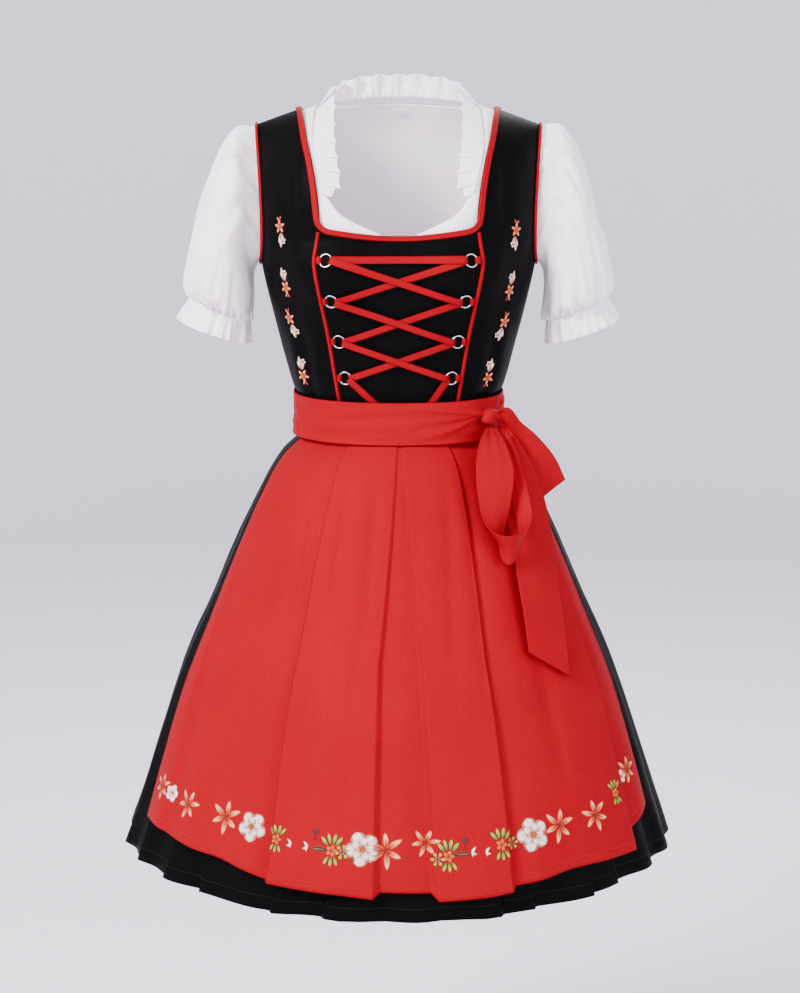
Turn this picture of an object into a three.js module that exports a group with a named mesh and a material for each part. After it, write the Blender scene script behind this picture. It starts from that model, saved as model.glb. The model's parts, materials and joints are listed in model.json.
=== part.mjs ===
// A dirndl as it is worn, with nobody in it: a short puff-sleeved blouse, a pinafore dress with a laced
// bodice and a pleated skirt, and an apron whose sash is tied at the front left.
// Millimetres, +Z up, the front faces -Y, +X is the wearer's left. The origin lies midway between the two
// shoulder straps, where the dress hangs on the shoulders.
import * as THREE from "three";

// ---------------------------------------------------------------- driving dimensions
const CLOTH = 1.2; // wall of the satin pieces
const THIN_CLOTH = 1.0; // wall of the blouse and of the narrow strips
const SEAM_GAP = 0.3; // between two pieces that are sewn together
const CHEST_LEVEL = -150; // above it the form closes over the shoulders
const RIDGE_DEPTH = 8; // the shoulder line lies this far behind the origin
const SHOULDER_PEAK = 59; // height of the shoulder line's apex over the origin
const SHOULDER_SLOPE = 0.3737; // tangent of the shoulder's fall
const SHOULDER_EASE = 45; // rounds the shoulder line at the neck
const TRUNK_POWER = 2.3; // superellipse powers of the sections
const SHOULDER_POWER = 2;
const SKIRT_POWER = 2.1;
const SHOULDER_SPREAD = 0.04; // the section widens a little towards the shoulder line
const Q_PER_DEGREE = 2.5; // "q" counts mm below the chest level and 2.5 a degree above it
const Q_RIDGE = 90 * Q_PER_DEGREE - 0.6;

const BUST = { push: 16, across: 88, level: -182, wide: 46, tall: 52 };

const WAIST_SEAM = -372; // bodice above, skirt below, hidden by the sash
const SASH_TOP = -346;
const SASH_BOTTOM = -399;
const APRON_TOP = -393;

// The form under the bodice: half-width and the depths to the front and to the back at each level.
const TRUNK = [
  { level: -400, side: 127, front: 104, back: 92 },
  { level: -372, side: 126, front: 103, back: 92 },
  { level: -352, side: 129, front: 106, back: 94 },
  { level: -335, side: 136, front: 112, back: 97 },
  { level: -284, side: 150, front: 121, back: 104 },
  { level: -221, side: 166, front: 133, back: 116 },
  { level: -181, side: 174.5, front: 137, back: 118 },
  { level: -150, side: 178, front: 128, back: 112 },
];

// The bell of the skirt over its pleats' valleys.
const BELL = [
  { level: -952, side: 352, front: 297, back: 282 },
  { level: -885, side: 332, front: 283, back: 268 },
  { level: -819, side: 313, front: 265, back: 250 },
  { level: -710, side: 279, front: 235, back: 220 },
  { level: -617, side: 240, front: 202, back: 188 },
  { level: -527, side: 201, front: 169, back: 155 },
  { level: -450, side: 164, front: 136, back: 122 },
  { level: -425, side: 147.5, front: 121, back: 107 },
  { level: -412, side: 134, front: 110, back: 98 },
  { level: -403, side: 124.5, front: 102, back: 91 },
  { level: -388, side: 120.5, front: 98.5, back: 87.5 },
  { level: -373, side: 120, front: 98, back: 87 },
];

// The seam between the centre front and the side front, from the waist to the neckline.
const PRINCESS_SEAM = [
  { level: -372, across: 71 },
  { level: -345, across: 74 },
  { level: -313, across: 79 },
  { level: -268, across: 86 },
  { level: -218, across: 95.5 },
  { level: -190, across: 100.5 },
  { level: -173, across: 102 },
  { level: -155, across: 99.5 },
  { level: -135, across: 96.5 },
];

// The front edge of the armhole by bearing, from the underarm point to the shoulder.
const ARMHOLE = [
  { bearing: 90, level: -181 },
  { bearing: 83, level: -179 },
  { bearing: 77, level: -171 },
  { bearing: 73, level: -150 },
  { bearing: 71.5, level: -118 },
  { bearing: 71.5, level: -85 },
  { bearing: 72.5, level: -50 },
  { bearing: 74, level: -24 },
  { bearing: 75.7, level: null },
];

const COLOURS = {
  red: 0xd3131f,
  black: 0x0e0e10,
  white: 0xf6f2f3,
  silver: 0xc9cbd0,
};

// ---------------------------------------------------------------- small helpers
const radians = THREE.MathUtils.degToRad;
const clamp = THREE.MathUtils.clamp;
const lerp = THREE.MathUtils.lerp;
const point = (x, y, z) => new THREE.Vector3(x, y, z);
const bell = (distance, width) => Math.exp(-((distance / width) ** 2));
const signedPower = (value, power) => Math.sign(value) * Math.abs(value) ** power;

/** Reads a column of a table whose rows rise by level, with a smooth curve through the rows. */
function read(table, level, column) {
  const rows = table.length;
  if (level <= table[0].level) return table[0][column];
  if (level >= table[rows - 1].level) return table[rows - 1][column];
  const i = table.findIndex((row, k) => k > 0 && level <= row.level);
  const [low, high] = [table[i - 1], table[i]];
  const step = high.level - low.level;
  const slopeAt = (k) => {
    const a = table[Math.max(k - 1, 0)];
    const b = table[Math.min(k + 1, rows - 1)];
    return (b[column] - a[column]) / (b.level - a.level);
  };
  const t = (level - low.level) / step;
  const rise = high[column] - low[column];
  const bendLow = slopeAt(i - 1) * step - rise;
  const bendHigh = rise - slopeAt(i) * step;
  return low[column] + t * rise + t * (1 - t) * ((1 - t) * bendLow + t * bendHigh);
}

/** A point along a list of values, t from 0 to 1. */
function along(values, t) {
  const place = clamp(t, 0, 1) * (values.length - 1);
  const i = Math.min(Math.floor(place), values.length - 2);
  return lerp(values[i], values[i + 1], place - i);
}

// ---------------------------------------------------------------- the form of the upper body
/** Height of the shoulder line over the origin at a distance from the middle. */
const shoulderLine = (x) => SHOULDER_PEAK - SHOULDER_SLOPE * Math.hypot(x, SHOULDER_EASE);

/** Base form at a bearing (0 front, 90 the wearer's left, 180 back) and a height q. */
function formBase(bearing, q) {
  const turn = radians(bearing);
  const level = Math.min(CHEST_LEVEL + q, CHEST_LEVEL);
  const side = read(TRUNK, level, "side");
  const depth = read(TRUNK, level, Math.cos(turn) >= 0 ? "front" : "back");
  const x = side * signedPower(Math.sin(turn), 2 / TRUNK_POWER);
  let y = -depth * signedPower(Math.cos(turn), 2 / TRUNK_POWER);
  if (Math.cos(turn) > 0) {
    const swell = bell(Math.abs(x) - BUST.across, BUST.wide) * bell(level - BUST.level, BUST.tall);
    y -= BUST.push * swell * Math.min(1, Math.cos(turn) * 2.5);
  }
  if (q <= 0) return point(x, y, level);
  const lift = radians(Math.min(q / Q_PER_DEGREE, 90));
  const up = signedPower(Math.sin(lift), 2 / SHOULDER_POWER);
  const out = signedPower(Math.cos(lift), 2 / SHOULDER_POWER);
  const spread = x * (1 + SHOULDER_SPREAD * up);
  const height = shoulderLine(spread) - CHEST_LEVEL;
  return point(spread, RIDGE_DEPTH * (1 - out) + y * out, CHEST_LEVEL + height * up);
}

/** The form's point moved out along its normal. */
function onForm(bearing, q, out = 0) {
  const p = formBase(bearing, q);
  if (!out) return p;
  const h = 0.6;
  const acrossDirection = formBase(bearing + h, q).sub(formBase(bearing - h, q));
  const upDirection = formBase(bearing, q + h).sub(formBase(bearing, q - h));
  return p.addScaledVector(acrossDirection.cross(upDirection).normalize(), out);
}

/** Height q of a level, at a distance x from the middle. */
function heightOf(level, x) {
  if (level <= CHEST_LEVEL) return level - CHEST_LEVEL;
  const part = clamp((level - CHEST_LEVEL) / (shoulderLine(x) - CHEST_LEVEL), 0, 1);
  const climbed = THREE.MathUtils.radToDeg(Math.asin(part ** (SHOULDER_POWER / 2)));
  return Math.min(climbed * Q_PER_DEGREE, Q_RIDGE);
}

/** Bearing and height of the form's point at x and a level; a null level means the shoulder line. */
function place(x, level, back = false) {
  const q = level === null ? Q_RIDGE : heightOf(level, Math.abs(x));
  const up = q > 0 ? signedPower(Math.sin(radians(q / Q_PER_DEGREE)), 2 / SHOULDER_POWER) : 0;
  const side = read(TRUNK, Math.min(level ?? 0, CHEST_LEVEL), "side") * (1 + SHOULDER_SPREAD * up);
  const sine = clamp(Math.abs(x) / side, 0, 1) ** (TRUNK_POWER / 2);
  const bearing = THREE.MathUtils.radToDeg(Math.asin(sine));
  return { bearing: Math.sign(x || 1) * (back ? 180 - bearing : bearing), q };
}

/** The same on the back, with bearings that run on past 180 degrees. */
function placeBack(x, level) {
  const { bearing, q } = place(x, level, true);
  return { bearing: bearing < 0 ? bearing + 360 : bearing, q };
}

/** The armhole's edge, t from 0 at the underarm to 1 at the shoulder, slid on by some degrees. */
function armholeEdge(t, side, { back = false, slide = 0 } = {}) {
  const bearing = along(ARMHOLE.map((row) => row.bearing), t) + slide;
  const levels = ARMHOLE.map((row) => row.level ?? shoulderLine(180));
  const level = along(levels, t);
  const q = t >= 1 ? Q_RIDGE : heightOf(level, 178);
  const front = Math.min(bearing, 90 - 0.12);
  return { bearing: side * (back ? 180 - front : front), q };
}

// ---------------------------------------------------------------- cloth walls
/** Normals of a grid of points, from its rows and columns. */
function gridNormals(grid, closed) {
  const [rows, columns] = [grid.length, grid[0].length];
  const wrap = (c) => (closed ? (c + columns) % columns : clamp(c, 0, columns - 1));
  return grid.map((row, r) =>
    row.map((p, c) => {
      const acrossDirection = row[wrap(c + 1)].clone().sub(row[wrap(c - 1)]);
      const upDirection = grid[Math.min(r + 1, rows - 1)][c].clone().sub(grid[Math.max(r - 1, 0)][c]);
      return acrossDirection.cross(upDirection).normalize();
    }),
  );
}

/** A closed wall between the grids of its two faces; "keep" leaves cells of the grids out. */
function wallBetween(outer, inner, { closed = false, keep = () => true } = {}) {
  const [rows, columns] = [outer.length, outer[0].length];
  const positions = [outer, inner].flatMap((grid) => grid.flat().flatMap((p) => p.toArray()));
  const layer = rows * columns;
  const at = (r, c) => r * columns + (c % columns);
  const cells = closed ? columns : columns - 1;
  const kept = (r, c) => {
    if (r < 0 || r >= rows - 1) return false;
    if (closed) return keep(r, (c + cells) % cells);
    return c >= 0 && c < cells && keep(r, c);
  };
  const faces = [];
  const quad = (a, b, c, d) => faces.push([a, b, c], [a, c, d]);
  for (let r = 0; r < rows - 1; r++) {
    for (let c = 0; c < cells; c++) {
      if (!kept(r, c)) continue;
      const [a, b, d, e] = [at(r, c), at(r, c + 1), at(r + 1, c + 1), at(r + 1, c)];
      quad(a, b, d, e);
      quad(layer + b, layer + a, layer + e, layer + d);
      if (!kept(r - 1, c)) quad(layer + a, layer + b, b, a);
      if (!kept(r + 1, c)) quad(layer + d, layer + e, e, d);
      if (!kept(r, c - 1)) quad(layer + e, layer + a, a, e);
      if (!kept(r, c + 1)) quad(layer + b, layer + d, d, b);
    }
  }
  return solidFrom(positions, faces);
}

/** A closed wall of cloth from a grid of points on its outer face. */
function clothWall(grid, { wall = CLOTH, closed = false, flip = false } = {}) {
  const normals = gridNormals(grid, closed);
  const inward = flip ? wall : -wall;
  const inner = grid.map((row, r) => row.map((p, c) => p.clone().addScaledVector(normals[r][c], inward)));
  return wallBetween(grid, inner, { closed });
}

/** A closed wall that follows the form: "spots" is a grid of bearings and heights. */
function formWall(spots, { out = 0, wall = CLOTH, closed = false, keep = () => true } = {}) {
  const face = (lift) => spots.map((row) => row.map(({ bearing, q }) => onForm(bearing, q, lift)));
  return wallBetween(face(out), face(out - wall), { closed, keep });
}

/** An indexed geometry whose faces point out. */
function solidFrom(positions, faces) {
  const v = (i) => new THREE.Vector3().fromArray(positions, 3 * i);
  const volume = faces.reduce((sum, [a, b, c]) => sum + v(a).dot(v(b).cross(v(c))), 0);
  const index = faces.flatMap(([a, b, c]) => (volume < 0 ? [a, c, b] : [a, b, c]));
  const used = [...new Set(index)].sort((a, b) => a - b);
  const renamed = new Map(used.map((old, i) => [old, i]));
  const geometry = new THREE.BufferGeometry();
  const kept = used.flatMap((i) => positions.slice(3 * i, 3 * i + 3));
  geometry.setAttribute("position", new THREE.Float32BufferAttribute(kept, 3));
  geometry.setIndex(index.map((i) => renamed.get(i)));
  geometry.computeVertexNormals();
  return geometry;
}

const dirndl = new THREE.Group();
dirndl.name = "dirndl";

/** Adds one named piece in its colour. */
function add(name, geometry, colour, { metalness = 0, roughness = 0.6 } = {}) {
  const material = new THREE.MeshStandardMaterial({ color: COLOURS[colour], metalness, roughness });
  const mesh = new THREE.Mesh(geometry, material);
  mesh.name = name;
  dirndl.add(mesh);
}

/** The spot between two spots of the form. */
const between = (from, to, t) => ({
  bearing: lerp(from.bearing, to.bearing, t),
  q: lerp(from.q, to.q, t),
});

/** Spots between two edges on the form: each row runs from "from" to "to" in equal steps. */
function betweenEdges(rows, columns) {
  return rows.map(({ from, to }) =>
    Array.from({ length: columns + 1 }, (_, c) => between(from, to, c / columns)),
  );
}

// Left and right are the wearer's.
const SIDES = [
  { name: "right", sign: -1 },
  { name: "left", sign: 1 },
];

// ---------------------------------------------------------------- bodice
const SEAM_SLIDE = 0.12; // degrees: half of a seam's gap at the sides
const NECK_CORNER = -135;
const NECK_CENTRE = -143.5;
const BACK_NECK = -72;

// Inner and outer edge of the side front above the bust, as the shoulder strap.
const STRAP_FRONT = [
  { inner: 96.5, level: -117, armhole: 4 / 8 },
  { inner: 100, level: -86, armhole: 5 / 8 },
  { inner: 106, level: -53, armhole: 6 / 8 },
  { inner: 114, level: -20, armhole: 7 / 8 },
  { inner: 123, level: null, armhole: 1 },
];
const STRAP_BACK = [
  { inner: 62, level: -69, armhole: 4 / 8 },
  { inner: 88, level: -57, armhole: 5 / 8 },
  { inner: 104, level: -38, armhole: 6 / 8 },
  { inner: 115, level: -14, armhole: 7 / 8 },
  { inner: 123, level: null, armhole: 1 },
];

/** The edge of the centre front's neckline at x: lowest in the middle, rising to the corners. */
const neckLevel = (x) => NECK_CENTRE + (NECK_CORNER - NECK_CENTRE) * (x / 96) ** 2;

function centreFront() {
  const columns = 12;
  const grid = PRINCESS_SEAM.map((row, r) =>
    Array.from({ length: columns + 1 }, (_, c) => {
      const x = lerp(-1, 1, c / columns) * (row.across - SEAM_GAP);
      const last = r === PRINCESS_SEAM.length - 1;
      return place(x, last ? neckLevel(x) : row.level);
    }),
  );
  add("bodice_front_panel", formWall(grid), "black");
}

/** Puts a row halfway between each two rows from a row on, where the form bends most. */
const refined = (rows, start) => rows.flatMap((row, i) => {
  if (i < start || i === rows.length - 1) return [row];
  const next = rows[i + 1];
  return [row, { from: between(row.from, next.from, 0.5), to: between(row.to, next.to, 0.5) }];
});

/** Rows of a side front, from the waist to the shoulder. */
function sideFrontRows(sign) {
  const underarm = ARMHOLE[0].level;
  const rows = PRINCESS_SEAM.map((row, r) => {
    const from = place(sign * (row.across + SEAM_GAP), row.level);
    const sideLevels = [-372, -345, -313, -268, -222, underarm];
    if (r < 6) return { from, to: { bearing: sign * (90 - SEAM_SLIDE), q: sideLevels[r] - CHEST_LEVEL } };
    return { from, to: armholeEdge((r - 5) / 8, sign) };
  });
  for (const row of STRAP_FRONT) {
    rows.push({ from: place(sign * row.inner, row.level), to: armholeEdge(row.armhole, sign) });
  }
  return refined(rows, PRINCESS_SEAM.length - 1);
}

/** Rows of a back panel, from the waist to the shoulder. */
function backRows(sign) {
  const levels = [-372, -345, -313, -268, -222, -181, -150, -115, -84];
  const rows = levels.map((level, r) => {
    const from = { bearing: sign * (180 - SEAM_SLIDE), q: heightOf(level, 0) };
    if (r < 6) return { from, to: { bearing: sign * (90 + SEAM_SLIDE), q: level - CHEST_LEVEL } };
    return { from, to: armholeEdge((r - 5) / 8, sign, { back: true }) };
  });
  rows[rows.length - 1].from = { bearing: sign * (180 - SEAM_SLIDE), q: heightOf(BACK_NECK, 0) };
  for (const row of STRAP_BACK) {
    const to = armholeEdge(row.armhole, sign, { back: true });
    rows.push({ from: place(sign * row.inner, row.level, true), to });
  }
  return refined(rows, levels.length - 2);
}

function sidePanels() {
  for (const { name, sign } of SIDES) {
    add(`bodice_side_front_${name}`, formWall(betweenEdges(sideFrontRows(sign), 6)), "black");
    add(`bodice_back_${name}`, formWall(betweenEdges(backRows(sign), 6)), "black");
  }
}

// ---------------------------------------------------------------- bindings and piping
const BINDING = { width: 7, armholeWidth: 5, under: 1.7, wall: 1.1 };
const PIPING = { width: 4, under: 0.9, wall: 1.4 };

/** A flat strip that lies on the form: each row gives its two edges. */
const strip = (rows, { under, wall }) =>
  formWall(rows.map(({ from, to }) => [from, to]), { out: under + wall, wall });

/** The neck edge of the front from the left shoulder to the right one, as x and level. */
function frontNeckEdge() {
  const half = [
    { x: 123, level: null },
    { x: 114, level: -20 },
    { x: 106, level: -53 },
    { x: 100, level: -86 },
    { x: 96.5, level: -117 },
    { x: 94, level: -128 },
    { x: 87, level: -134 },
    { x: 74, level: -136.8 },
    { x: 50, level: -140.2 },
    { x: 25, level: -142.7 },
  ];
  const mirrored = half.map((p) => ({ x: -p.x, level: p.level }));
  return [...mirrored, { x: 0, level: NECK_CENTRE }, ...half.slice().reverse()];
}

/** The same edge moved into the cloth by a distance, across its own direction. */
function movedEdge(edge, distance) {
  const flat = edge.map(({ x, level }) => new THREE.Vector2(x, level ?? shoulderLine(x)));
  return flat.map((p, i) => {
    const before = flat[Math.max(i - 1, 0)];
    const after = flat[Math.min(i + 1, flat.length - 1)];
    const direction = after.clone().sub(before).normalize();
    const x = p.x + direction.y * distance;
    const level = edge[i].level === null ? null : p.y - direction.x * distance;
    return { x, level };
  });
}

function neckBindings() {
  const front = frontNeckEdge();
  const frontRows = front.map((p, i) => {
    const inner = movedEdge(front, BINDING.width)[i];
    return { from: place(p.x, p.level), to: place(inner.x, inner.level) };
  });
  add("neck_binding_front", strip(refined(frontRows, 0), BINDING), "red");
  const rising = STRAP_BACK.slice(0, 4).reverse();
  const half = [{ x: 123, level: null }, ...rising.map((row) => ({ x: row.inner, level: row.level }))];
  const back = [
    ...half.map((p) => ({ x: -p.x, level: p.level })),
    { x: -32, level: -72 },
    { x: 0, level: -72.5 },
    { x: 32, level: -72 },
    ...half.slice().reverse(),
  ];
  const backRow = back.map((p, i) => {
    const inner = movedEdge(back, BINDING.width)[i];
    return { from: placeBack(p.x, p.level), to: placeBack(inner.x, inner.level) };
  });
  add("neck_binding_back", strip(refined(backRow, 0), BINDING), "red");
}

function armholeBindings() {
  const steps = 16;
  for (const { name, sign } of SIDES) {
    const rows = [];
    for (let i = 0; i <= 2 * steps; i++) {
      const back = i > steps;
      const t = back ? (2 * steps - i) / steps : i / steps;
      const edge = armholeEdge(t, sign, { back });
      const low = bell(t, 0.16);
      const turn = (back ? 1 : -1) * sign * 2.3 * (1 - low);
      const drop = BINDING.armholeWidth * low;
      const atRidge = t >= 1;
      rows.push({
        from: edge,
        to: { bearing: edge.bearing + turn, q: atRidge ? edge.q : edge.q - drop },
      });
    }
    rows[0].from.bearing = sign * 90;
    rows[0].to.bearing = sign * 90;
    rows.pop();
    add(`armhole_binding_${name}`, strip(rows, BINDING), "red");
  }
}

function princessPiping() {
  for (const { name, sign } of SIDES) {
    const rows = PRINCESS_SEAM.slice(0, 8).map((row) => ({
      from: place(sign * (row.across - PIPING.width / 2), row.level),
      to: place(sign * (row.across + PIPING.width / 2), row.level),
    }));
    add(`princess_piping_${name}`, strip(rows, PIPING), "red");
  }
}

// ---------------------------------------------------------------- rings, tabs and lace
const RING = { radius: 7.9, wire: 0.85, lift: 2.5 };
const RING_PLACES = [
  { across: 87.5, level: -173 },
  { across: 81.5, level: -222 },
  { across: 72.5, level: -273 },
  { across: 65, level: -319 },
];
const TAB = { wall: 1.0, half: 4 };
const LACE = { half: 4.6, wall: 0.9, low: 5.6, high: 7.4 };

function ringGeometry(sign, spot) {
  const seat = place(sign * spot.across, spot.level);
  const centre = onForm(seat.bearing, seat.q, RING.lift);
  const outward = onForm(seat.bearing, seat.q, RING.lift + 10).sub(centre).normalize();
  const geometry = new THREE.TorusGeometry(RING.radius, RING.wire, 5, 14);
  const turn = new THREE.Quaternion().setFromUnitVectors(point(0, 0, 1), outward);
  return geometry.applyQuaternion(turn).translate(centre.x, centre.y, centre.z);
}

/** A strip whose rows lie on the form, each at its own height over it. */
function risingStrip(rows, wall) {
  const face = (drop) =>
    rows.map(({ edges, out }) => edges.map(({ bearing, q }) => onForm(bearing, q, out - drop)));
  return wallBetween(face(0), face(wall));
}

/** A red tab from the piping over the ring's outer wire, as a strip that rises and ends inside the ring. */
function tab(sign, spot) {
  const besideSeam = (level) => read(PRINCESS_SEAM, level, "across") - PIPING.width / 2 - 0.5;
  const stops = [
    { across: besideSeam, out: 2.2 },
    { across: () => spot.across + RING.radius + 0.8, out: 4.8 },
    { across: () => spot.across + RING.radius - 0.2, out: 5.4 },
    { across: () => spot.across + RING.radius - 2.6, out: 5.4 },
  ];
  const rows = stops.map(({ across, out }) => ({
    edges: [-TAB.half, TAB.half].map((dz) => place(sign * across(spot.level + dz), spot.level + dz)),
    out,
  }));
  return risingStrip(rows, TAB.wall);
}

/** A flat lace that lies over the bodice from one place to another. */
function lace(start, end) {
  const steps = 8;
  const direction = new THREE.Vector2(end.x - start.x, end.level - start.level).normalize();
  const side = new THREE.Vector2(-direction.y, direction.x).multiplyScalar(LACE.half);
  const rows = Array.from({ length: steps + 1 }, (_, i) => {
    const t = i / steps;
    const x = lerp(start.x, end.x, t);
    const level = lerp(start.level, end.level, t);
    const edges = [-1, 1].map((s) => place(x + s * side.x, level + s * side.y));
    return { edges, out: lerp(start.out, end.out, t) };
  });
  return risingStrip(rows, LACE.wall);
}

function fastenings() {
  for (const { name, sign } of SIDES) {
    RING_PLACES.forEach((spot, i) => {
      add(`ring_${name}_${i + 1}`, ringGeometry(sign, spot), "silver", { metalness: 1, roughness: 0.25 });
      add(`ring_tab_${name}_${i + 1}`, tab(sign, spot), "red");
    });
  }
}

function laces() {
  const hold = RING.radius - 3.2; // the lace ends this far from the ring's middle, over its inner wire
  const end = (sign, i, out) => ({
    x: sign * (RING_PLACES[i].across - hold),
    level: RING_PLACES[i].level,
    out,
  });
  const stretches = [["lace_top_bar", end(-1, 0, LACE.low), end(1, 0, LACE.high)]];
  for (let i = 0; i < 3; i++) {
    stretches.push([`lace_cross_under_${i + 1}`, end(1, i, LACE.low), end(-1, i + 1, LACE.low)]);
    stretches.push([`lace_cross_over_${i + 1}`, end(-1, i, LACE.high), end(1, i + 1, LACE.high)]);
  }
  const tuck = { level: SASH_TOP - 7, out: 3.2 };
  stretches.push(["lace_end_right", end(-1, 3, LACE.high), { ...tuck, x: -26 }]);
  stretches.push(["lace_end_left", end(1, 3, LACE.low), { ...tuck, x: 38 }]);
  for (const [name, from, to] of stretches) add(name, lace(from, to), "red");
}

// ---------------------------------------------------------------- blouse
const BLOUSE_OUT = -4; // under the bodice
const BLOUSE_HEM = -300;
const NECK_FRONT = [
  { x: 0, level: -151 },
  { x: 24, level: -141 },
  { x: 50, level: -129 },
  { x: 74, level: -114 },
  { x: 93, level: -92 },
];
const NECK_SHOULDER = [
  { x: 104, level: -58 },
  { x: 108, level: -25 },
  { x: 104, level: null },
];
const BLOUSE_ARM_SLIDE = 1.0;
const BAND_HEIGHT = 8;

/** Columns of the blouse front: x of the neck edge out to 93 mm, then on to the armhole. */
function blouseFront() {
  const inner = NECK_FRONT.map((p) => p.x);
  const columns = [...inner.slice(1).reverse().map((x) => -x), ...inner];
  const outerSteps = 5;
  const width = columns.length + 2 * outerSteps;
  const armRows = [0, 1 / 8, 2 / 8, 3.4 / 8, 5 / 8];
  const rowsBelow = [BLOUSE_HEM, -268, -222];
  const rowEdge = (sign, row) => {
    if (row < rowsBelow.length) {
      return { bearing: sign * (90 - SEAM_SLIDE), q: rowsBelow[row] - CHEST_LEVEL };
    }
    return armholeEdge(armRows[row - rowsBelow.length], sign, { slide: BLOUSE_ARM_SLIDE });
  };
  const topRow = rowsBelow.length + armRows.length - 1;
  const grid = [];
  for (let r = 0; r <= topRow; r++) {
    const t = r / topRow;
    const row = [];
    for (let c = 0; c < width; c++) {
      const k = c - outerSteps;
      if (k >= 0 && k < columns.length) {
        const x = columns[k];
        const top = NECK_FRONT[inner.indexOf(Math.abs(x))].level;
        row.push(place(x, lerp(BLOUSE_HEM, top, t ** 0.85)));
        continue;
      }
      const sign = k < 0 ? -1 : 1;
      const steps = sign < 0 ? -k : k - columns.length + 1;
      const from = place(sign * 93, lerp(BLOUSE_HEM, NECK_FRONT[4].level, t ** 0.85));
      row.push(between(from, rowEdge(sign, r), steps / outerSteps));
    }
    grid.push(row);
  }
  const arms = [6 / 8, 7 / 8, 1];
  arms.forEach((armhole, i) => {
    const row = grid[topRow].map((spot, c) => {
      const left = c <= outerSteps;
      const right = c >= width - 1 - outerSteps;
      if (!left && !right) return spot;
      const sign = left ? -1 : 1;
      const steps = left ? outerSteps - c : c - (width - 1 - outerSteps);
      const from = place(sign * NECK_SHOULDER[i].x, NECK_SHOULDER[i].level);
      const to = armholeEdge(armhole, sign, { slide: BLOUSE_ARM_SLIDE });
      return between(from, to, steps / outerSteps);
    });
    grid.push(row);
  });
  const keep = (r, c) => r < topRow || c < outerSteps || c >= width - 1 - outerSteps;
  add("blouse_front", formWall(grid, { out: BLOUSE_OUT, wall: THIN_CLOTH, keep }), "white");
}

// The back neck edge, from the middle to the shoulder.
const NECK_BACK = [
  { x: 0, level: 27 },
  { x: 27, level: 26.5 },
  { x: 53, level: 24.5 },
  { x: 78, level: 21 },
  { x: 104, level: null },
];

/** The back neck edge's place at t from -1 to 1, lowered by a drop. */
function backNeck(t, drop = 0) {
  const xs = NECK_BACK.map((p) => p.x);
  const levels = NECK_BACK.map((p) => p.level ?? shoulderLine(p.x));
  const u = Math.abs(t);
  const x = along(xs, u);
  const level = along(levels, u) - drop * (1 - u ** 4);
  const spot = place(x, u >= 1 ? null : level, true);
  const q = Math.min(spot.q, BLOUSE_RIDGE);
  return { bearing: t < 0 ? -spot.bearing : spot.bearing, q };
}

const BLOUSE_RIDGE = Q_RIDGE - 2.4; // leaves a seam's gap along the shoulder

function blouseBack() {
  const columns = 16;
  const levels = [BLOUSE_HEM, -268, -222, -181, -150, -110, -70, -35, -10, 6];
  const grid = levels.map((level, r) => {
    const t = r < 3 ? null : [0, 2.2 / 8, 3.6 / 8, 4.8 / 8, 5.8 / 8, 6.7 / 8, 7.4 / 8][r - 3];
    return Array.from({ length: columns + 1 }, (_, c) => {
      const s = lerp(-1, 1, c / columns);
      const sign = s < 0 ? -1 : 1;
      const from = { bearing: sign * 180, q: heightOf(level, 0) };
      const to = t === null
        ? { bearing: sign * (90 + SEAM_SLIDE), q: level - CHEST_LEVEL }
        : armholeEdge(t, sign, { back: true, slide: BLOUSE_ARM_SLIDE });
      return between(from, to, Math.abs(s));
    });
  });
  const neckShare = 0.62; // of the half-width that the neck edge takes, the rest is the shoulder seam
  const topRow = (drop) => Array.from({ length: columns + 1 }, (_, c) => {
    const s = lerp(-1, 1, c / columns);
    const u = Math.abs(s);
    const sign = s < 0 ? -1 : 1;
    if (u <= neckShare) return backNeck(s / neckShare, drop);
    const to = armholeEdge(1, sign, { back: true, slide: BLOUSE_ARM_SLIDE });
    to.q = BLOUSE_RIDGE;
    return between(backNeck(sign, drop), to, (u - neckShare) / (1 - neckShare));
  });
  grid.push(topRow(BAND_HEIGHT + 5 * SEAM_GAP));
  add("blouse_back", formWall(grid, { out: BLOUSE_OUT, wall: THIN_CLOTH }), "white");
}

/** The band round the back neck, between the blouse and its ruffle. */
function neckBand() {
  const columns = 16;
  const row = (drop) => Array.from({ length: columns + 1 }, (_, c) => {
    const t = lerp(-0.82, 0.82, c / columns);
    return backNeck(t, drop);
  });
  const wall = formWall([row(BAND_HEIGHT), row(0)], { out: BLOUSE_OUT, wall: THIN_CLOTH });
  add("blouse_neck_band", wall, "white");
}

const RUFFLE = { back: 28, front: 29, waves: 9, frontWaves: 7, swing: 4.6 };

/** The standing ruffle round the back neck: a wavy wall that leans out a little. */
function backRuffle() {
  const columns = RUFFLE.waves * 5;
  const heights = [0, 0.45, 1];
  const grid = heights.map((h) =>
    Array.from({ length: columns + 1 }, (_, c) => {
      const t = lerp(-0.985, 0.985, c / columns);
      const spot = backNeck(t);
      const base = onForm(spot.bearing, spot.q, BLOUSE_OUT + 0.2);
      const outward = point(base.x * 0.35, base.y - 8, 0).normalize();
      const wave = Math.sin((c / columns) * RUFFLE.waves * 2 * Math.PI) * RUFFLE.swing * h;
      const end = Math.abs(t) ** 3;
      const lean = lerp(3, -22, end) * h;
      const rise = RUFFLE.back * h * (1 - 0.3 * end);
      return base.addScaledVector(outward, wave + lean).add(point(0, 0, SEAM_GAP + 0.4 + rise));
    }),
  );
  add("blouse_neck_ruffle_back", clothWall(grid, { wall: THIN_CLOTH, flip: true }), "white");
}

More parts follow.
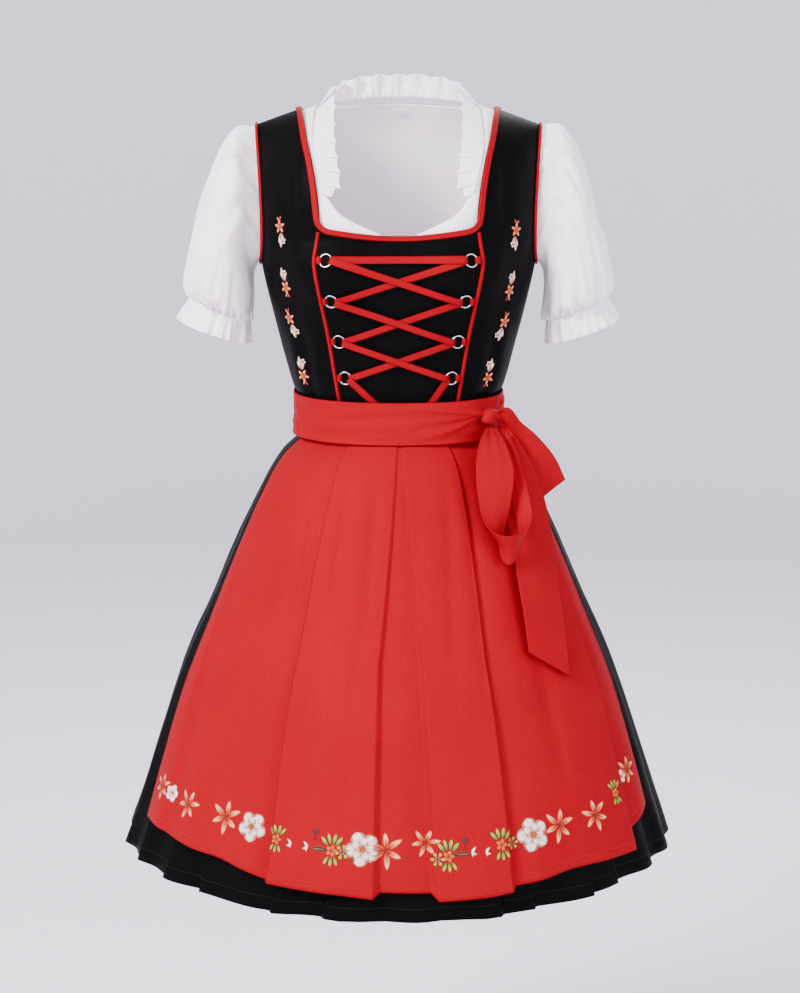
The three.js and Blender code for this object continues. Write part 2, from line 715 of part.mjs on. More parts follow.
/** A front ruffle lies inwards from the neck edge, from the shoulder down to the end of the strap. */
function frontRuffles() {
  const columns = RUFFLE.frontWaves * 5;
  const seam = [
    { x: 104, level: 12 },
    { x: 108, level: -25 },
    { x: 104, level: -58 },
    { x: 94, level: -91 },
  ];
  for (const { name, sign } of SIDES) {
    const grid = [0, 0.5, 1].map((h) =>
      Array.from({ length: columns + 1 }, (_, c) => {
        const t = lerp(0.03, 1, c / columns);
        const x = along(seam.map((p) => p.x), t);
        const level = along(seam.map((p) => p.level), t);
        const spot = place(x, level);
        const base = onForm(sign * spot.bearing, spot.q, BLOUSE_OUT + 0.1);
        const inward = point(-sign, -0.12, 0.75 - 1.2 * t).normalize();
        const wave = Math.sin((c / columns) * RUFFLE.frontWaves * 2 * Math.PI) * 3.2 * h;
        const reach = 2 * SEAM_GAP + 0.5 + RUFFLE.front * h * (1 - 0.35 * bell(1 - t, 0.14));
        return base.addScaledVector(inward, reach).add(point(0, wave * 0.8, wave * 0.6));
      }),
    );
    add(`blouse_neck_ruffle_front_${name}`, clothWall(grid, { wall: THIN_CLOTH, flip: sign < 0 }), "white");
  }
}

function sizeLabel() {
  const spot = place(0.01, NECK_BACK[0].level - BAND_HEIGHT - 9, true);
  const centre = onForm(180, spot.q, BLOUSE_OUT - THIN_CLOTH - 1.9);
  const outward = onForm(180, spot.q, 10).sub(onForm(180, spot.q, 0)).normalize();
  const geometry = new THREE.BoxGeometry(15, 0.8, 9);
  const tilt = new THREE.Quaternion().setFromUnitVectors(point(0, 1, 0), outward);
  geometry.applyQuaternion(tilt).translate(centre.x, centre.y, centre.z);
  add("size_label", geometry, "white");
}

// Sleeve sections from the armhole to the gathers above the frill: the outer and the inner
// point of each section, as distance from the middle and level, and its half-depth.
const SLEEVE = [
  { outX: 205, outLevel: -15, inX: 184, inLevel: -193, half: 60, forward: 0 },
  { outX: 226, outLevel: -43, inX: 186, inLevel: -205, half: 69, forward: 2 },
  { outX: 246, outLevel: -98, inX: 186, inLevel: -219, half: 75, forward: 4 },
  { outX: 260, outLevel: -145, inX: 186, inLevel: -232, half: 75, forward: 6 },
  { outX: 269, outLevel: -186, inX: 186, inLevel: -243, half: 70, forward: 7 },
  { outX: 270, outLevel: -210, inX: 187, inLevel: -250, half: 60, forward: 8 },
  { outX: 263, outLevel: -226, inX: 190, inLevel: -256, half: 46, forward: 8 },
];
const FRILL = [
  { outX: 264.5, outLevel: -226.8, inX: 190, inLevel: -256.6, half: 46.6, wave: 0 },
  { outX: 273, outLevel: -240, inX: 189, inLevel: -270, half: 50, wave: 2.2 },
  { outX: 281, outLevel: -255, inX: 190, inLevel: -286, half: 54, wave: 4.2 },
];
const SLEEVE_COLUMNS = 20;
const FRILL_COLUMNS = 32;
const FRILL_WAVES = 8;

/** A point of a sleeve section at a turn (0 outer point, a quarter turn front, half a turn inner point). */
function sleevePoint(row, sign, turn, wave = 0) {
  const centre = point((row.outX + row.inX) / 2, -(row.forward ?? 8), (row.outLevel + row.inLevel) / 2);
  const arm = point((row.outX - row.inX) / 2, 0, (row.outLevel - row.inLevel) / 2);
  const grow = 1 + wave / arm.length();
  const p = centre.addScaledVector(arm, Math.cos(turn) * grow);
  p.y -= Math.sin(turn) * (row.half + wave);
  p.x *= sign;
  return p;
}

/** The ring of points where the sleeve is sewn in, just outside the blouse's armhole edge. */
function sleeveHead(sign, turn, reach) {
  const u = turn / Math.PI;
  const back = u > 1;
  const t = 1 - (back ? 2 - u : u);
  const edge = armholeEdge(clamp(t, 0, 1), sign, { back, slide: BLOUSE_ARM_SLIDE + 0.2 });
  return onForm(edge.bearing, edge.q, BLOUSE_OUT).add(point(sign * (0.5 + reach), 0, 0));
}

function sleeves() {
  const turns = Array.from({ length: SLEEVE_COLUMNS }, (_, c) => (c / SLEEVE_COLUMNS) * 2 * Math.PI);
  const frillTurns = Array.from({ length: FRILL_COLUMNS }, (_, c) => (c / FRILL_COLUMNS) * 2 * Math.PI);
  for (const { name, sign } of SIDES) {
    const grid = [0, 6].map((reach) => turns.map((turn) => sleeveHead(sign, turn, reach)));
    for (const row of SLEEVE) grid.push(turns.map((turn) => sleevePoint(row, sign, turn)));
    const cloth = { wall: THIN_CLOTH, closed: true, flip: sign < 0 };
    add(`blouse_sleeve_${name}`, clothWall(grid, cloth), "white");
    const frill = FRILL.map((row) =>
      frillTurns.map((turn) => sleevePoint(row, sign, turn, row.wave * Math.sin(FRILL_WAVES * turn))),
    );
    add(`blouse_cuff_frill_${name}`, clothWall(frill, cloth), "white");
  }
}

// ---------------------------------------------------------------- skirt
// Bearings of the pleats' folds at the hem, from the wearer's right side over the front to the left side.
const FRONT_FOLDS = [
  { bearing: -78, way: -1 },
  { bearing: -66, way: -1 },
  { bearing: -54, way: -1 },
  { bearing: -43, way: -1 },
  { bearing: -24.5, way: -1 },
  { bearing: -14, way: -1 },
  { bearing: 19.5, way: 1 },
  { bearing: 27, way: 1 },
  { bearing: 41, way: 1 },
  { bearing: 49.5, way: 1 },
  { bearing: 63, way: 1 },
  { bearing: 77, way: 1 },
];
const BACK_FOLDS = [98, 112, 126, 140, 154, 168, -168, -154, -140, -126, -112, -98].map((bearing) => ({
  bearing: bearing < 0 ? bearing + 360 : bearing,
  way: bearing > 0 ? -1 : 1,
}));
const PLEAT = { waist: 1.1, hem: 7.5, stepWaist: 0.6, stepHem: 1.1 }; // heights in mm, steps in degrees
const SKIRT_LEVELS = [-373, -390, -403, -412, -425, -450, -527, -617, -710, -819, -885, -952];
const HEM_RISE = 23; // the hem is this much higher at the sides than at the front

/** A point of the skirt's bell at a bearing and a level, moved out level by a distance. */
function onBell(bearing, level, out) {
  const turn = radians(bearing);
  const cosine = Math.cos(turn);
  const side = read(BELL, level, "side") + out;
  const depth = read(BELL, level, cosine >= 0 ? "front" : "back") + out;
  const power = 2 / SKIRT_POWER;
  return point(side * signedPower(Math.sin(turn), power), -depth * signedPower(cosine, power), level);
}

/** How far down the skirt a level is, 0 at the waist seam and 1 at the hem. */
const downSkirt = (level) => (WAIST_SEAM - level) / (WAIST_SEAM - SKIRT_LEVELS.at(-1));

/** Stations of a pleated section: the cloth comes out to each fold, and drops to the next pleat. */
function pleatStations(folds, from, to) {
  const stations = [{ bearing: from, out: 0.35, slip: 0 }];
  folds.forEach((fold, i) => {
    const before = i ? folds[i - 1].bearing : from;
    const after = i < folds.length - 1 ? folds[i + 1].bearing : to;
    const highFirst = fold.way > 0;
    const high = { bearing: fold.bearing, out: 1, slip: -fold.way };
    const low = { bearing: fold.bearing, out: 0, slip: fold.way };
    if (highFirst) {
      stations.push({ bearing: lerp(before, fold.bearing, 0.55), out: 0.55, slip: 0 }, high, low);
    } else {
      stations.push(low, high, { bearing: lerp(fold.bearing, after, 0.45), out: 0.55, slip: 0 });
    }
  });
  stations.push({ bearing: to, out: 0.35, slip: 0 });
  return stations;
}

/** The hem rises towards the sides, the rows above it less and less. */
const hemLift = (bearing, level) => HEM_RISE * Math.sin(radians(bearing)) ** 2 * downSkirt(level) ** 3;

function pleatedWall(stations, levels) {
  return levels.map((level) =>
    stations.map(({ bearing, out, slip }) => {
      const down = downSkirt(level);
      const height = lerp(PLEAT.waist, PLEAT.hem, down ** 0.8);
      const step = (slip * lerp(PLEAT.stepWaist, PLEAT.stepHem, down)) / 2;
      const p = onBell(bearing + step, level, 0.4 + CLOTH + out * height);
      p.z += hemLift(bearing, level);
      return p;
    }),
  );
}

function skirt() {
  const front = pleatStations(FRONT_FOLDS, -90 + 0.1, 90 - 0.1);
  const back = pleatStations(BACK_FOLDS, 90 + 0.1, 270 - 0.1);
  add("skirt_front", clothWall(pleatedWall(front, SKIRT_LEVELS)), "black");
  add("skirt_back", clothWall(pleatedWall(back, SKIRT_LEVELS)), "black");
}

// ---------------------------------------------------------------- apron
// The apron's pressed folds and edges: bearing at the waist, halfway and at the hem, and how far the
// cloth stands out there at the waist and at the hem, and how much higher the hem lies there than at the
// middle of the front. Two stations at one fold make its step.
const APRON = [
  { top: -70.5, middle: -68.5, hem: -68, topOut: 0.2, hemOut: 1.5, rise: 40 },
  { top: -66, middle: -62.5, hem: -60, topOut: 0.5, hemOut: 4.5, rise: 37 },
  { top: -60, middle: -58, hem: -55.8, topOut: 0.4, hemOut: 0.5, rise: 34 },
  { top: -52, middle: -49, hem: -46, topOut: 0.8, hemOut: 5, rise: 30 },
  { top: -42, middle: -40, hem: -38, topOut: 0.3, hemOut: 1.2, rise: 26 },
  { top: -33, middle: -32, hem: -31, topOut: 0.6, hemOut: 3.5, rise: 18 },
  { top: -27.3, middle: -26.9, hem: -26.2, topOut: 0.2, hemOut: 0.2, rise: 11 },
  { top: -26.4, middle: -25.8, hem: -24.9, topOut: 2.4, hemOut: 11, rise: 10 },
  { top: -16, middle: -17, hem: -16, topOut: 2.5, hemOut: 11.5, rise: 6 },
  { top: -7, middle: -10, hem: -9, topOut: 2.5, hemOut: 11, rise: 3 },
  { top: -0.7, middle: -4.6, hem: -4.4, topOut: 2.2, hemOut: 11, rise: 0 },
  { top: 0.2, middle: -3.4, hem: -3.1, topOut: 0.3, hemOut: 0.4, rise: 5 },
  { top: 0.9, middle: 0.7, hem: 1.4, topOut: 0.1, hemOut: 3, rise: 5 },
  { top: 1.6, middle: 4.7, hem: 5.6, topOut: 0.3, hemOut: 0.4, rise: 4 },
  { top: 2.5, middle: 5.9, hem: 6.9, topOut: 2.2, hemOut: 11, rise: -3 },
  { top: 9, middle: 11, hem: 11.5, topOut: 2.5, hemOut: 11.5, rise: -2 },
  { top: 18, middle: 16.5, hem: 16.5, topOut: 2.5, hemOut: 11, rise: -1 },
  { top: 26.6, middle: 21.8, hem: 21.2, topOut: 2.4, hemOut: 10.5, rise: 2 },
  { top: 27.5, middle: 22.9, hem: 22.5, topOut: 0.2, hemOut: 0.3, rise: 6 },
  { top: 32, middle: 29, hem: 28, topOut: 0.6, hemOut: 3.5, rise: 9 },
  { top: 40, middle: 38, hem: 36, topOut: 0.4, hemOut: 1.5, rise: 15 },
  { top: 49, middle: 47, hem: 46, topOut: 0.8, hemOut: 5.5, rise: 16 },
  { top: 58.6, middle: 57.8, hem: 55.2, topOut: 1.2, hemOut: 7, rise: 17 },
  { top: 59.6, middle: 58.9, hem: 56.4, topOut: 0.2, hemOut: 0.8, rise: 38 },
  { top: 65, middle: 64, hem: 62, topOut: 0.5, hemOut: 4.5, rise: 48 },
  { top: 70.5, middle: 69.5, hem: 67.5, topOut: 0.2, hemOut: 1.5, rise: 57 },
];
const APRON_BASE = 13; // the apron lies this far out from the bell's valleys at the hem
const APRON_BASE_TOP = 6.2;
const APRON_LEVELS = [-393, -403, -412, -425, -450, -500, -560, -640, -740, -830, -920];

const downApron = (level) => (APRON_TOP - level) / (APRON_TOP - APRON_LEVELS.at(-1));

/** A point of the apron at one of its stations. */
function apronPoint(station, level) {
  const down = downApron(level);
  const bearing = down < 0.5
    ? lerp(station.top, station.middle, down * 2)
    : lerp(station.middle, station.hem, down * 2 - 1);
  const base = lerp(APRON_BASE_TOP, APRON_BASE, down ** 0.6);
  const out = base + lerp(station.topOut, station.hemOut, down ** 0.9);
  return onBell(bearing, level + station.rise * down ** 3, out);
}

function apron() {
  const grid = APRON_LEVELS.map((level) => APRON.map((station) => apronPoint(station, level)));
  add("apron_panel", clothWall(grid), "red");
}

// ---------------------------------------------------------------- sash and bow
const SASH = { inner: 8.4, wall: 1.2, edge: 70 };
const SASH_LEVELS = [SASH_BOTTOM, -386, -362, SASH_TOP];
const SASH_SWELL = [1, 0.2, 0, -0.6];

/** The waist under the sash: narrower than the bell, so that the sash lies close. */
function onWaist(bearing, level, out) {
  const turn = radians(bearing);
  const cosine = Math.cos(turn);
  const power = 2 / TRUNK_POWER;
  const side = 126 + out;
  const depth = (cosine >= 0 ? 104 : 92) + out;
  const dip = -4 * Math.max(cosine, 0);
  return point(side * signedPower(Math.sin(turn), power), -depth * signedPower(cosine, power), level + dip);
}

function sashWall(from, to, steps) {
  return SASH_LEVELS.map((level, r) =>
    Array.from({ length: steps + 1 }, (_, c) => {
      const bearing = lerp(from, to, c / steps);
      return onWaist(bearing, level, SASH.inner + SASH.wall + SASH_SWELL[r]);
    }),
  );
}

function sash() {
  add("sash_front", clothWall(sashWall(-SASH.edge, SASH.edge, 20), { wall: SASH.wall }), "red");
  const back = sashWall(SASH.edge + 0.15, 360 - SASH.edge - 0.15, 26);
  add("sash_tie_back", clothWall(back, { wall: SASH.wall }), "red");
}

// Ribbons of the half bow, each as rows of its two edges: [x, y, z] of one edge and of the other.
const LOOP = [
  [[109, -94, -384.2], [122.5, -86.2, -384.6]],
  [[100, -126, -396], [131, -118, -397]],
  [[95, -148, -424], [142, -144, -429]],
  [[97, -162, -455], [139, -154, -463]],
  [[105, -174, -487], [131, -158, -502]],
  [[119, -183, -500], [129, -163, -530]],
  [[138, -184, -503], [135, -171, -541]],
  [[156, -172, -498], [141, -163, -532]],
  [[164, -155, -484], [148, -153, -505]],
  [[159, -138, -452], [140, -140, -466]],
  [[150, -116, -417], [132, -122, -426]],
  [[137, -89, -387], [125, -97, -390]],
];
const LONG_TAIL = [
  [[118, -80.6, -385.4], [132, -73.6, -382.5]],
  [[124, -104, -408], [151, -82, -402]],
  [[129, -120, -440], [171, -88, -436]],
  [[134, -140, -482], [185, -98, -478]],
  [[142, -160, -533], [198, -126, -558]],
  [[151, -178, -586], [207, -150, -618]],
  [[159, -198, -646], [212, -180, -681]],
];
const SHORT_TAIL = [
  [[126.2, -82.2, -359.8], [130.8, -74.6, -376]],
  [[139, -82, -360], [146, -70, -394]],
  [[153, -72, -378], [154, -70, -418]],
  [[173, -66, -396], [163, -77, -444]],
  [[198, -60, -426], [173, -79, -462]],
  [[212, -58, -455], [183, -77, -474]],
];
const KNOT = { bearing: 50, level: -368, out: 20.2, thick: 10.8, wide: 13.5, tall: 14 };

/** Smooth ribbon between rows of edges, with a few columns across. */
function ribbon(rows, steps, columns) {
  const [left, right] = [0, 1].map((k) => new THREE.CatmullRomCurve3(rows.map((row) => point(...row[k]))));
  return Array.from({ length: steps + 1 }, (_, r) => {
    const a = left.getPoint(r / steps);
    const b = right.getPoint(r / steps);
    return Array.from({ length: columns + 1 }, (_, c) => a.clone().lerp(b, c / columns));
  });
}

function bow() {
  add("bow_loop", clothWall(ribbon(LOOP, 26, 2), { wall: CLOTH }), "red");
  add("bow_tail_long", clothWall(ribbon(LONG_TAIL, 12, 2), { wall: CLOTH }), "red");
  add("bow_tail_short", clothWall(ribbon(SHORT_TAIL, 10, 2), { wall: CLOTH }), "red");
  const centre = onWaist(KNOT.bearing, KNOT.level, KNOT.out);
  const geometry = new THREE.SphereGeometry(1, 16, 10).scale(KNOT.wide, KNOT.thick, KNOT.tall);
  geometry.rotateZ(radians(KNOT.bearing * 0.8)).translate(centre.x, centre.y, centre.z);
  add("bow_knot", geometry, "red");
}

centreFront();
sidePanels();
neckBindings();
armholeBindings();
princessPiping();
fastenings();
laces();
blouseFront();
blouseBack();
neckBand();
backRuffle();
frontRuffles();
sizeLabel();
sleeves();
skirt();
apron();
sash();
bow();

export default dirndl;
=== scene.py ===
"""The finished look of a worn dirndl: puff-sleeved blouse, laced bodice, pleated skirt, apron, sash and bow.

Cloth is laid out as fine grids of points on the worn form, in the part's own millimetres: +Z up, the front
faces -Y, +X is the wearer's left, and the origin lies midway between the two shoulder straps.
"""

from __future__ import annotations

import json
import logging
import math
from dataclasses import dataclass, field
from enum import Enum
from typing import Callable, Iterable, Sequence

import bpy
import numpy as np
from mathutils import Matrix, Vector
from mathutils.bvhtree import BVHTree

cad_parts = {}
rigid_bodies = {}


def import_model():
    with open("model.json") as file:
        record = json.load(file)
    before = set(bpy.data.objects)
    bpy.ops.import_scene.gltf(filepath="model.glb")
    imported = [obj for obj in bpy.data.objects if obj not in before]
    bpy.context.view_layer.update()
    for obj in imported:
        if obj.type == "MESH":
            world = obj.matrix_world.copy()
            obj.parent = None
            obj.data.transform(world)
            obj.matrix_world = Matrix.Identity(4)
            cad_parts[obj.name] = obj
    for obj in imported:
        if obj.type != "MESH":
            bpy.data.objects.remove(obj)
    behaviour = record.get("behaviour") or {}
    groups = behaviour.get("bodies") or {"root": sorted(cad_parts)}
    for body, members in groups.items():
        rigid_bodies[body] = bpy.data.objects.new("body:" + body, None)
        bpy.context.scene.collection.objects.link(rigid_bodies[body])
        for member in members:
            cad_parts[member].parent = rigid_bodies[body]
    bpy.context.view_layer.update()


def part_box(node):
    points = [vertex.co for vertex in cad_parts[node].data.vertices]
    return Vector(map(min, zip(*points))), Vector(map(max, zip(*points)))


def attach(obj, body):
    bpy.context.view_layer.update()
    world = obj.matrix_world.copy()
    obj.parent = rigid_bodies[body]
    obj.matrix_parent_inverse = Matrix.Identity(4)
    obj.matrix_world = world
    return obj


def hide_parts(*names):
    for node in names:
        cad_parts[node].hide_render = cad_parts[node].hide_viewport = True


LOG = logging.getLogger("dirndl")
MM = 0.001
CLOTH, THIN_CLOTH, RUFFLE_CLOTH = 1.2, 1.0, 0.8  # walls of cloth, mm
SEAM_GAP = 0.3  # from one sewn piece to the next, mm
SIDE_GAP = 0.12  # the same at the blouse's side seams, degrees
WAIST = -372  # level of the bodice's lower edge, mm
NECK = -143.5  # level of the middle of the front neck edge, mm
Grid = np.ndarray
Pair = tuple[np.ndarray, np.ndarray]
Colour = tuple[float, float, float]


class Side(Enum):
    """The wearer's sides, with the sign of their x."""

    RIGHT = -1
    LEFT = 1

    @property
    def word(self) -> str:
        """The side's name in the pieces' names."""
        return self.name.lower()


# ---------------------------------------------------------------- numbers along tables and curves
def smooth_along(values: Sequence | np.ndarray, at: np.ndarray | float) -> np.ndarray:
    """Reads a list at fractional places with a smooth curve through its values.

    Args:
        values: The values, one or more numbers each.
        at: Places from 0 to the last index.

    Returns:
        The values at those places.
    """
    values = np.asarray(values, float)
    last = len(values) - 1
    at = np.clip(np.asarray(at, float), 0, last)
    i = np.minimum(at.astype(int), last - 1)
    t = (at - i).reshape(at.shape + (1,) * (values.ndim - 1))
    before, low = values[np.maximum(i - 1, 0)], values[i]
    high, after = values[i + 1], values[np.minimum(i + 2, last)]
    slope_low, slope_high = (high - before) / 2, (after - low) / 2
    rise = high - low
    return low + t * rise + t * (1 - t) * ((1 - t) * (slope_low - rise) + t * (rise - slope_high))


def straight_along(values: Sequence | np.ndarray, at: np.ndarray | float) -> np.ndarray:
    """Reads a list at fractional places with straight lines between its values.

    Args:
        values: The values, one or more numbers each.
        at: Places from 0 to the last index.

    Returns:
        The values at those places.
    """
    values = np.asarray(values, float)
    at = np.clip(np.asarray(at, float), 0, len(values) - 1)
    i = np.minimum(at.astype(int), len(values) - 2)
    t = (at - i).reshape(at.shape + (1,) * (values.ndim - 1))
    return values[i] * (1 - t) + values[i + 1] * t


def signed_power(value: np.ndarray, power: float) -> np.ndarray:
    """A power that keeps the sign of its base."""
    return np.sign(value) * np.abs(value) ** power


def hill(distance: np.ndarray, width: float) -> np.ndarray:
    """A smooth bump, 1 at no distance and nearly nothing past twice its width."""
    return np.exp(-((distance / width) ** 2))


def ease(value: np.ndarray) -> np.ndarray:
    """A smooth step from 0 to 1."""
    value = np.clip(value, 0, 1)
    return value * value * (3 - 2 * value)


def run_along(path: np.ndarray) -> np.ndarray:
    """Distance of each point of a path from its start."""
    return np.concatenate([[0], np.cumsum(np.linalg.norm(np.diff(path, axis=0), axis=1))])


class Sections:
    """A table of sections by level, read with a smooth curve through its rows."""

    def __init__(self, names: Sequence[str], rows: Sequence[Sequence[float]]) -> None:
        """Keeps the rows, whose first number is the level and rises.

        Args:
            names: The names of the numbers after the level.
            rows: The rows of the table.
        """
        table = np.array(rows, float)
        self.levels = table[:, 0]
        self.columns = {name: table[:, i + 1] for i, name in enumerate(names)}

    def read(self, level: np.ndarray | float, name: str) -> np.ndarray:
        """The number of that name at a level.

        Args:
            level: Levels in mm.
            name: One of the table's names.

        Returns:
            The numbers at those levels.
        """
        levels, values = self.levels, self.columns[name]
        level = np.clip(np.asarray(level, float), levels[0], levels[-1])
        i = np.clip(np.searchsorted(levels, level), 1, len(levels) - 1)
        index = np.arange(len(levels))
        low, high = np.maximum(index - 1, 0), np.minimum(index + 1, len(levels) - 1)
        slopes = (values[high] - values[low]) / (levels[high] - levels[low])
        step = levels[i] - levels[i - 1]
        t = (level - levels[i - 1]) / step
        rise = values[i] - values[i - 1]
        bend_low, bend_high = slopes[i - 1] * step - rise, rise - slopes[i] * step
        return values[i - 1] + t * rise + t * (1 - t) * ((1 - t) * bend_low + t * bend_high)


class SoftNoise:
    """Smooth noise in space that is the same on every run."""

    def __init__(self, seed: int) -> None:
        """Fills the lattice.

        Args:
            seed: The start of its numbers.
        """
        self.size = 24
        self.lattice = np.random.default_rng(seed).uniform(-1, 1, (self.size,) * 3)

    def at(self, points: np.ndarray, scale: Sequence[float]) -> np.ndarray:
        """Noise from -1 to 1 at points.

        Args:
            points: Points in mm, the last axis x, y and z.
            scale: Size of one cell in mm along each axis.

        Returns:
            One number a point.
        """
        place = points / np.asarray(scale, float) + 101.3
        cell = np.floor(place).astype(int)
        t = ease(place - cell)
        total = np.zeros(points.shape[:-1])
        for dx in (0, 1):
            for dy in (0, 1):
                for dz in (0, 1):
                    share = np.where(dx, t[..., 0], 1 - t[..., 0])
                    share = share * np.where(dy, t[..., 1], 1 - t[..., 1])
                    share = share * np.where(dz, t[..., 2], 1 - t[..., 2])
                    key = (cell + (dx, dy, dz)) % self.size
                    total += share * self.lattice[key[..., 0], key[..., 1], key[..., 2]]
        return total


# ---------------------------------------------------------------- the worn form
@dataclass(frozen=True)
class WornForm:
    """The shape of the upper body that the cloth follows, with nobody in it."""

    chest: float = -150
    ridge_depth: float = 8
    peak: float = 59
    slope: float = 0.3737
    neck_ease: float = 45
    power: float = 2.3
    spread: float = 0.04
    q_per_degree: float = 2.5
    # The swell of the bust: x and level of its middle, its half-widths there, and its height.
    bust: tuple[float, float, float, float, float] = (88, -182, 46, 52, 16)
    trunk: Sections = Sections(
        ("side", "front", "back"),
        (
            (-400, 127, 104, 92), (-372, 126, 103, 92), (-352, 129, 106, 94), (-335, 136, 112, 97),
            (-284, 150, 121, 104), (-221, 166, 133, 116), (-181, 174.5, 137, 118), (-150, 178, 128, 112),
        ),
    )

    @property
    def ridge(self) -> float:
        """The height q of the shoulder line."""
        return 90 * self.q_per_degree - 0.6

    def shoulder_line(self, x: np.ndarray | float) -> np.ndarray:
        """Height of the shoulder line over the origin at a distance from the middle."""
        return self.peak - self.slope * np.hypot(x, self.neck_ease)

    def base(self, bearing: np.ndarray, q: np.ndarray) -> np.ndarray:
        """Points of the form.

        Args:
            bearing: Degrees from the front towards the wearer's left.
            q: Height, mm below the chest level and 2.5 a degree above it.

        Returns:
            Points in mm.
        """
        bearing, q = np.broadcast_arrays(np.asarray(bearing, float), np.asarray(q, float))
        turn = np.radians(bearing)
        sine, cosine = np.sin(turn), np.cos(turn)
        level = np.minimum(self.chest + q, self.chest)
        depth = np.where(cosine >= 0, self.trunk.read(level, "front"), self.trunk.read(level, "back"))
        x = self.trunk.read(level, "side") * signed_power(sine, 2 / self.power)
        y = -depth * signed_power(cosine, 2 / self.power)
        bust_x, bust_level, wide, tall, rise = self.bust
        swell = hill(np.abs(x) - bust_x, wide) * hill(level - bust_level, tall)
        y = y - np.where(cosine > 0, rise * swell * np.clip(cosine * 2.5, 0, 1), 0)
        lift = np.radians(np.clip(q / self.q_per_degree, 0, 90))
        up, out = np.sin(lift), np.cos(lift)
        spread = x * (1 + self.spread * up)
        height = self.shoulder_line(spread) - self.chest
        above = np.stack([spread, self.ridge_depth * (1 - out) + y * out, self.chest + height * up], -1)
        return np.where((q <= 0)[..., None], np.stack([x, y, level], -1), above)

    def normal(self, bearing: np.ndarray, q: np.ndarray) -> np.ndarray:
        """The form's outward direction at points.

        Args:
            bearing: Degrees from the front.
            q: Height on the form.

        Returns:
            Unit vectors.
        """
        h = 0.6
        across = self.base(bearing + h, q) - self.base(bearing - h, q)
        up = self.base(bearing, q + h) - self.base(bearing, q - h)
        return unit(np.cross(across, up))

    def at(self, bearing: np.ndarray, q: np.ndarray, out: np.ndarray | float = 0.0) -> np.ndarray:
        """Points in mm at bearings and heights q, moved out from the form by a distance in mm."""
        out = np.broadcast_to(np.asarray(out, float), np.shape(bearing))
        return self.base(bearing, q) + self.normal(bearing, q) * out[..., None]

    def height_of(self, level: np.ndarray, x: np.ndarray) -> np.ndarray:
        """Height q of a level at a distance from the middle.

        Args:
            level: Level in mm.
            x: Distance from the middle in mm.

        Returns:
            The height q.
        """
        rise = (level - self.chest) / (self.shoulder_line(x) - self.chest)
        above = np.degrees(np.arcsin(np.clip(rise, 0, 1))) * self.q_per_degree
        return np.where(level <= self.chest, level - self.chest, np.minimum(above, self.ridge))

    def place(self, x: np.ndarray, level: np.ndarray, back: bool = False) -> Pair:
        """Bearing and height of the form's point at x and a level.

        Args:
            x: Distance from the middle, plus to the wearer's left.
            level: Level in mm; past the shoulder line it is the shoulder line.
            back: Whether the point is on the back.

        Returns:
            The bearings and the heights q.
        """
        x, level = np.broadcast_arrays(np.asarray(x, float), np.asarray(level, float))
        q = self.height_of(level, np.abs(x))
        up = np.where(q > 0, np.sin(np.radians(np.clip(q, 0, None) / self.q_per_degree)), 0)
        side = self.trunk.read(np.minimum(level, self.chest), "side") * (1 + self.spread * up)
        bearing = np.degrees(np.arcsin(np.clip(np.abs(x) / side, 0, 1) ** (self.power / 2)))
        sign = np.where(x < 0, -1, 1)
        return sign * (180 - bearing if back else bearing), q


FORM = WornForm()
RIDGE_LEVEL = 400.0  # any level over the shoulder line stands for the shoulder line
ARMHOLE = (
    (90, -181), (83, -179), (77, -171), (73, -150), (71.5, -118), (71.5, -85), (72.5, -50), (74, -24),
    (75.7, float(FORM.shoulder_line(180))),
)


def armhole_edge(t: np.ndarray, side: int, back: bool = False, slide: float = 0.0) -> Pair:
    """The armhole's edge.

    Args:
        t: From 0 at the underarm to 1 at the shoulder.
        side: Sign of the side.
        back: Whether it is the back half.
        slide: Degrees to move it on towards the arm.

    Returns:
        The bearings and the heights q.
    """
    t = np.asarray(t, float)
    bearing, level = smooth_along(ARMHOLE, t * 8).T
    q = np.where(t >= 1, FORM.ridge, FORM.height_of(level, np.full_like(level, 178.0)))
    bearing = np.minimum(bearing + slide, 90 - SIDE_GAP)
    return side * (180 - bearing if back else bearing), q


# ---------------------------------------------------------------- cloth
def unit(vectors: np.ndarray) -> np.ndarray:
    """Vectors of length one."""
    return vectors / np.maximum(np.linalg.norm(vectors, axis=-1, keepdims=True), 1e-9)


def grid_normals(grid: Grid, closed: bool = False) -> np.ndarray:
    """Directions square to a grid of points.

    Args:
        grid: Points by row and column.
        closed: Whether the last column meets the first.

    Returns:
        Unit vectors by row and column.
    """
    if closed:
        across = np.roll(grid, -1, 1) - np.roll(grid, 1, 1)
    else:
        across = np.gradient(grid, axis=1)
    return unit(np.cross(across, np.gradient(grid, axis=0)))


@dataclass(frozen=True)
class Crease:
    """A soft fold in cloth, as a line in the front view from one place (x, z) to another."""

    start: tuple[float, float]
    end: tuple[float, float]
    rise: float
    width: float

    def at(self, x: np.ndarray, z: np.ndarray) -> np.ndarray:
        """How far the cloth moves out at places of the front view."""
        a, b = np.array(self.start), np.array(self.end)
        line = b - a
        share = ((x - a[0]) * line[0] + (z - a[1]) * line[1]) / (line @ line)
        held = np.clip(share, 0, 1)
        away = np.hypot(x - a[0] - held * line[0], z - a[1] - held * line[1])
        fade = np.sin(np.pi * np.clip(0.12 + 0.76 * share, 0, 1)) ** 0.8
        return self.rise * hill(away, self.width) * fade


def pressed(grid: Grid, creases: Iterable[Crease]) -> np.ndarray:
    """How far the creases move each point of a grid out, in mm."""
    return sum((crease.at(grid[..., 0], grid[..., 2]) for crease in creases), np.zeros(grid.shape[:-1]))


def creases(*rows: tuple[float, ...]) -> tuple[Crease, ...]:
    """Creases from rows of x and z of the start, x and z of the end, rise and width."""
    return tuple(Crease(row[:2], row[2:4], *row[4:]) for row in rows)


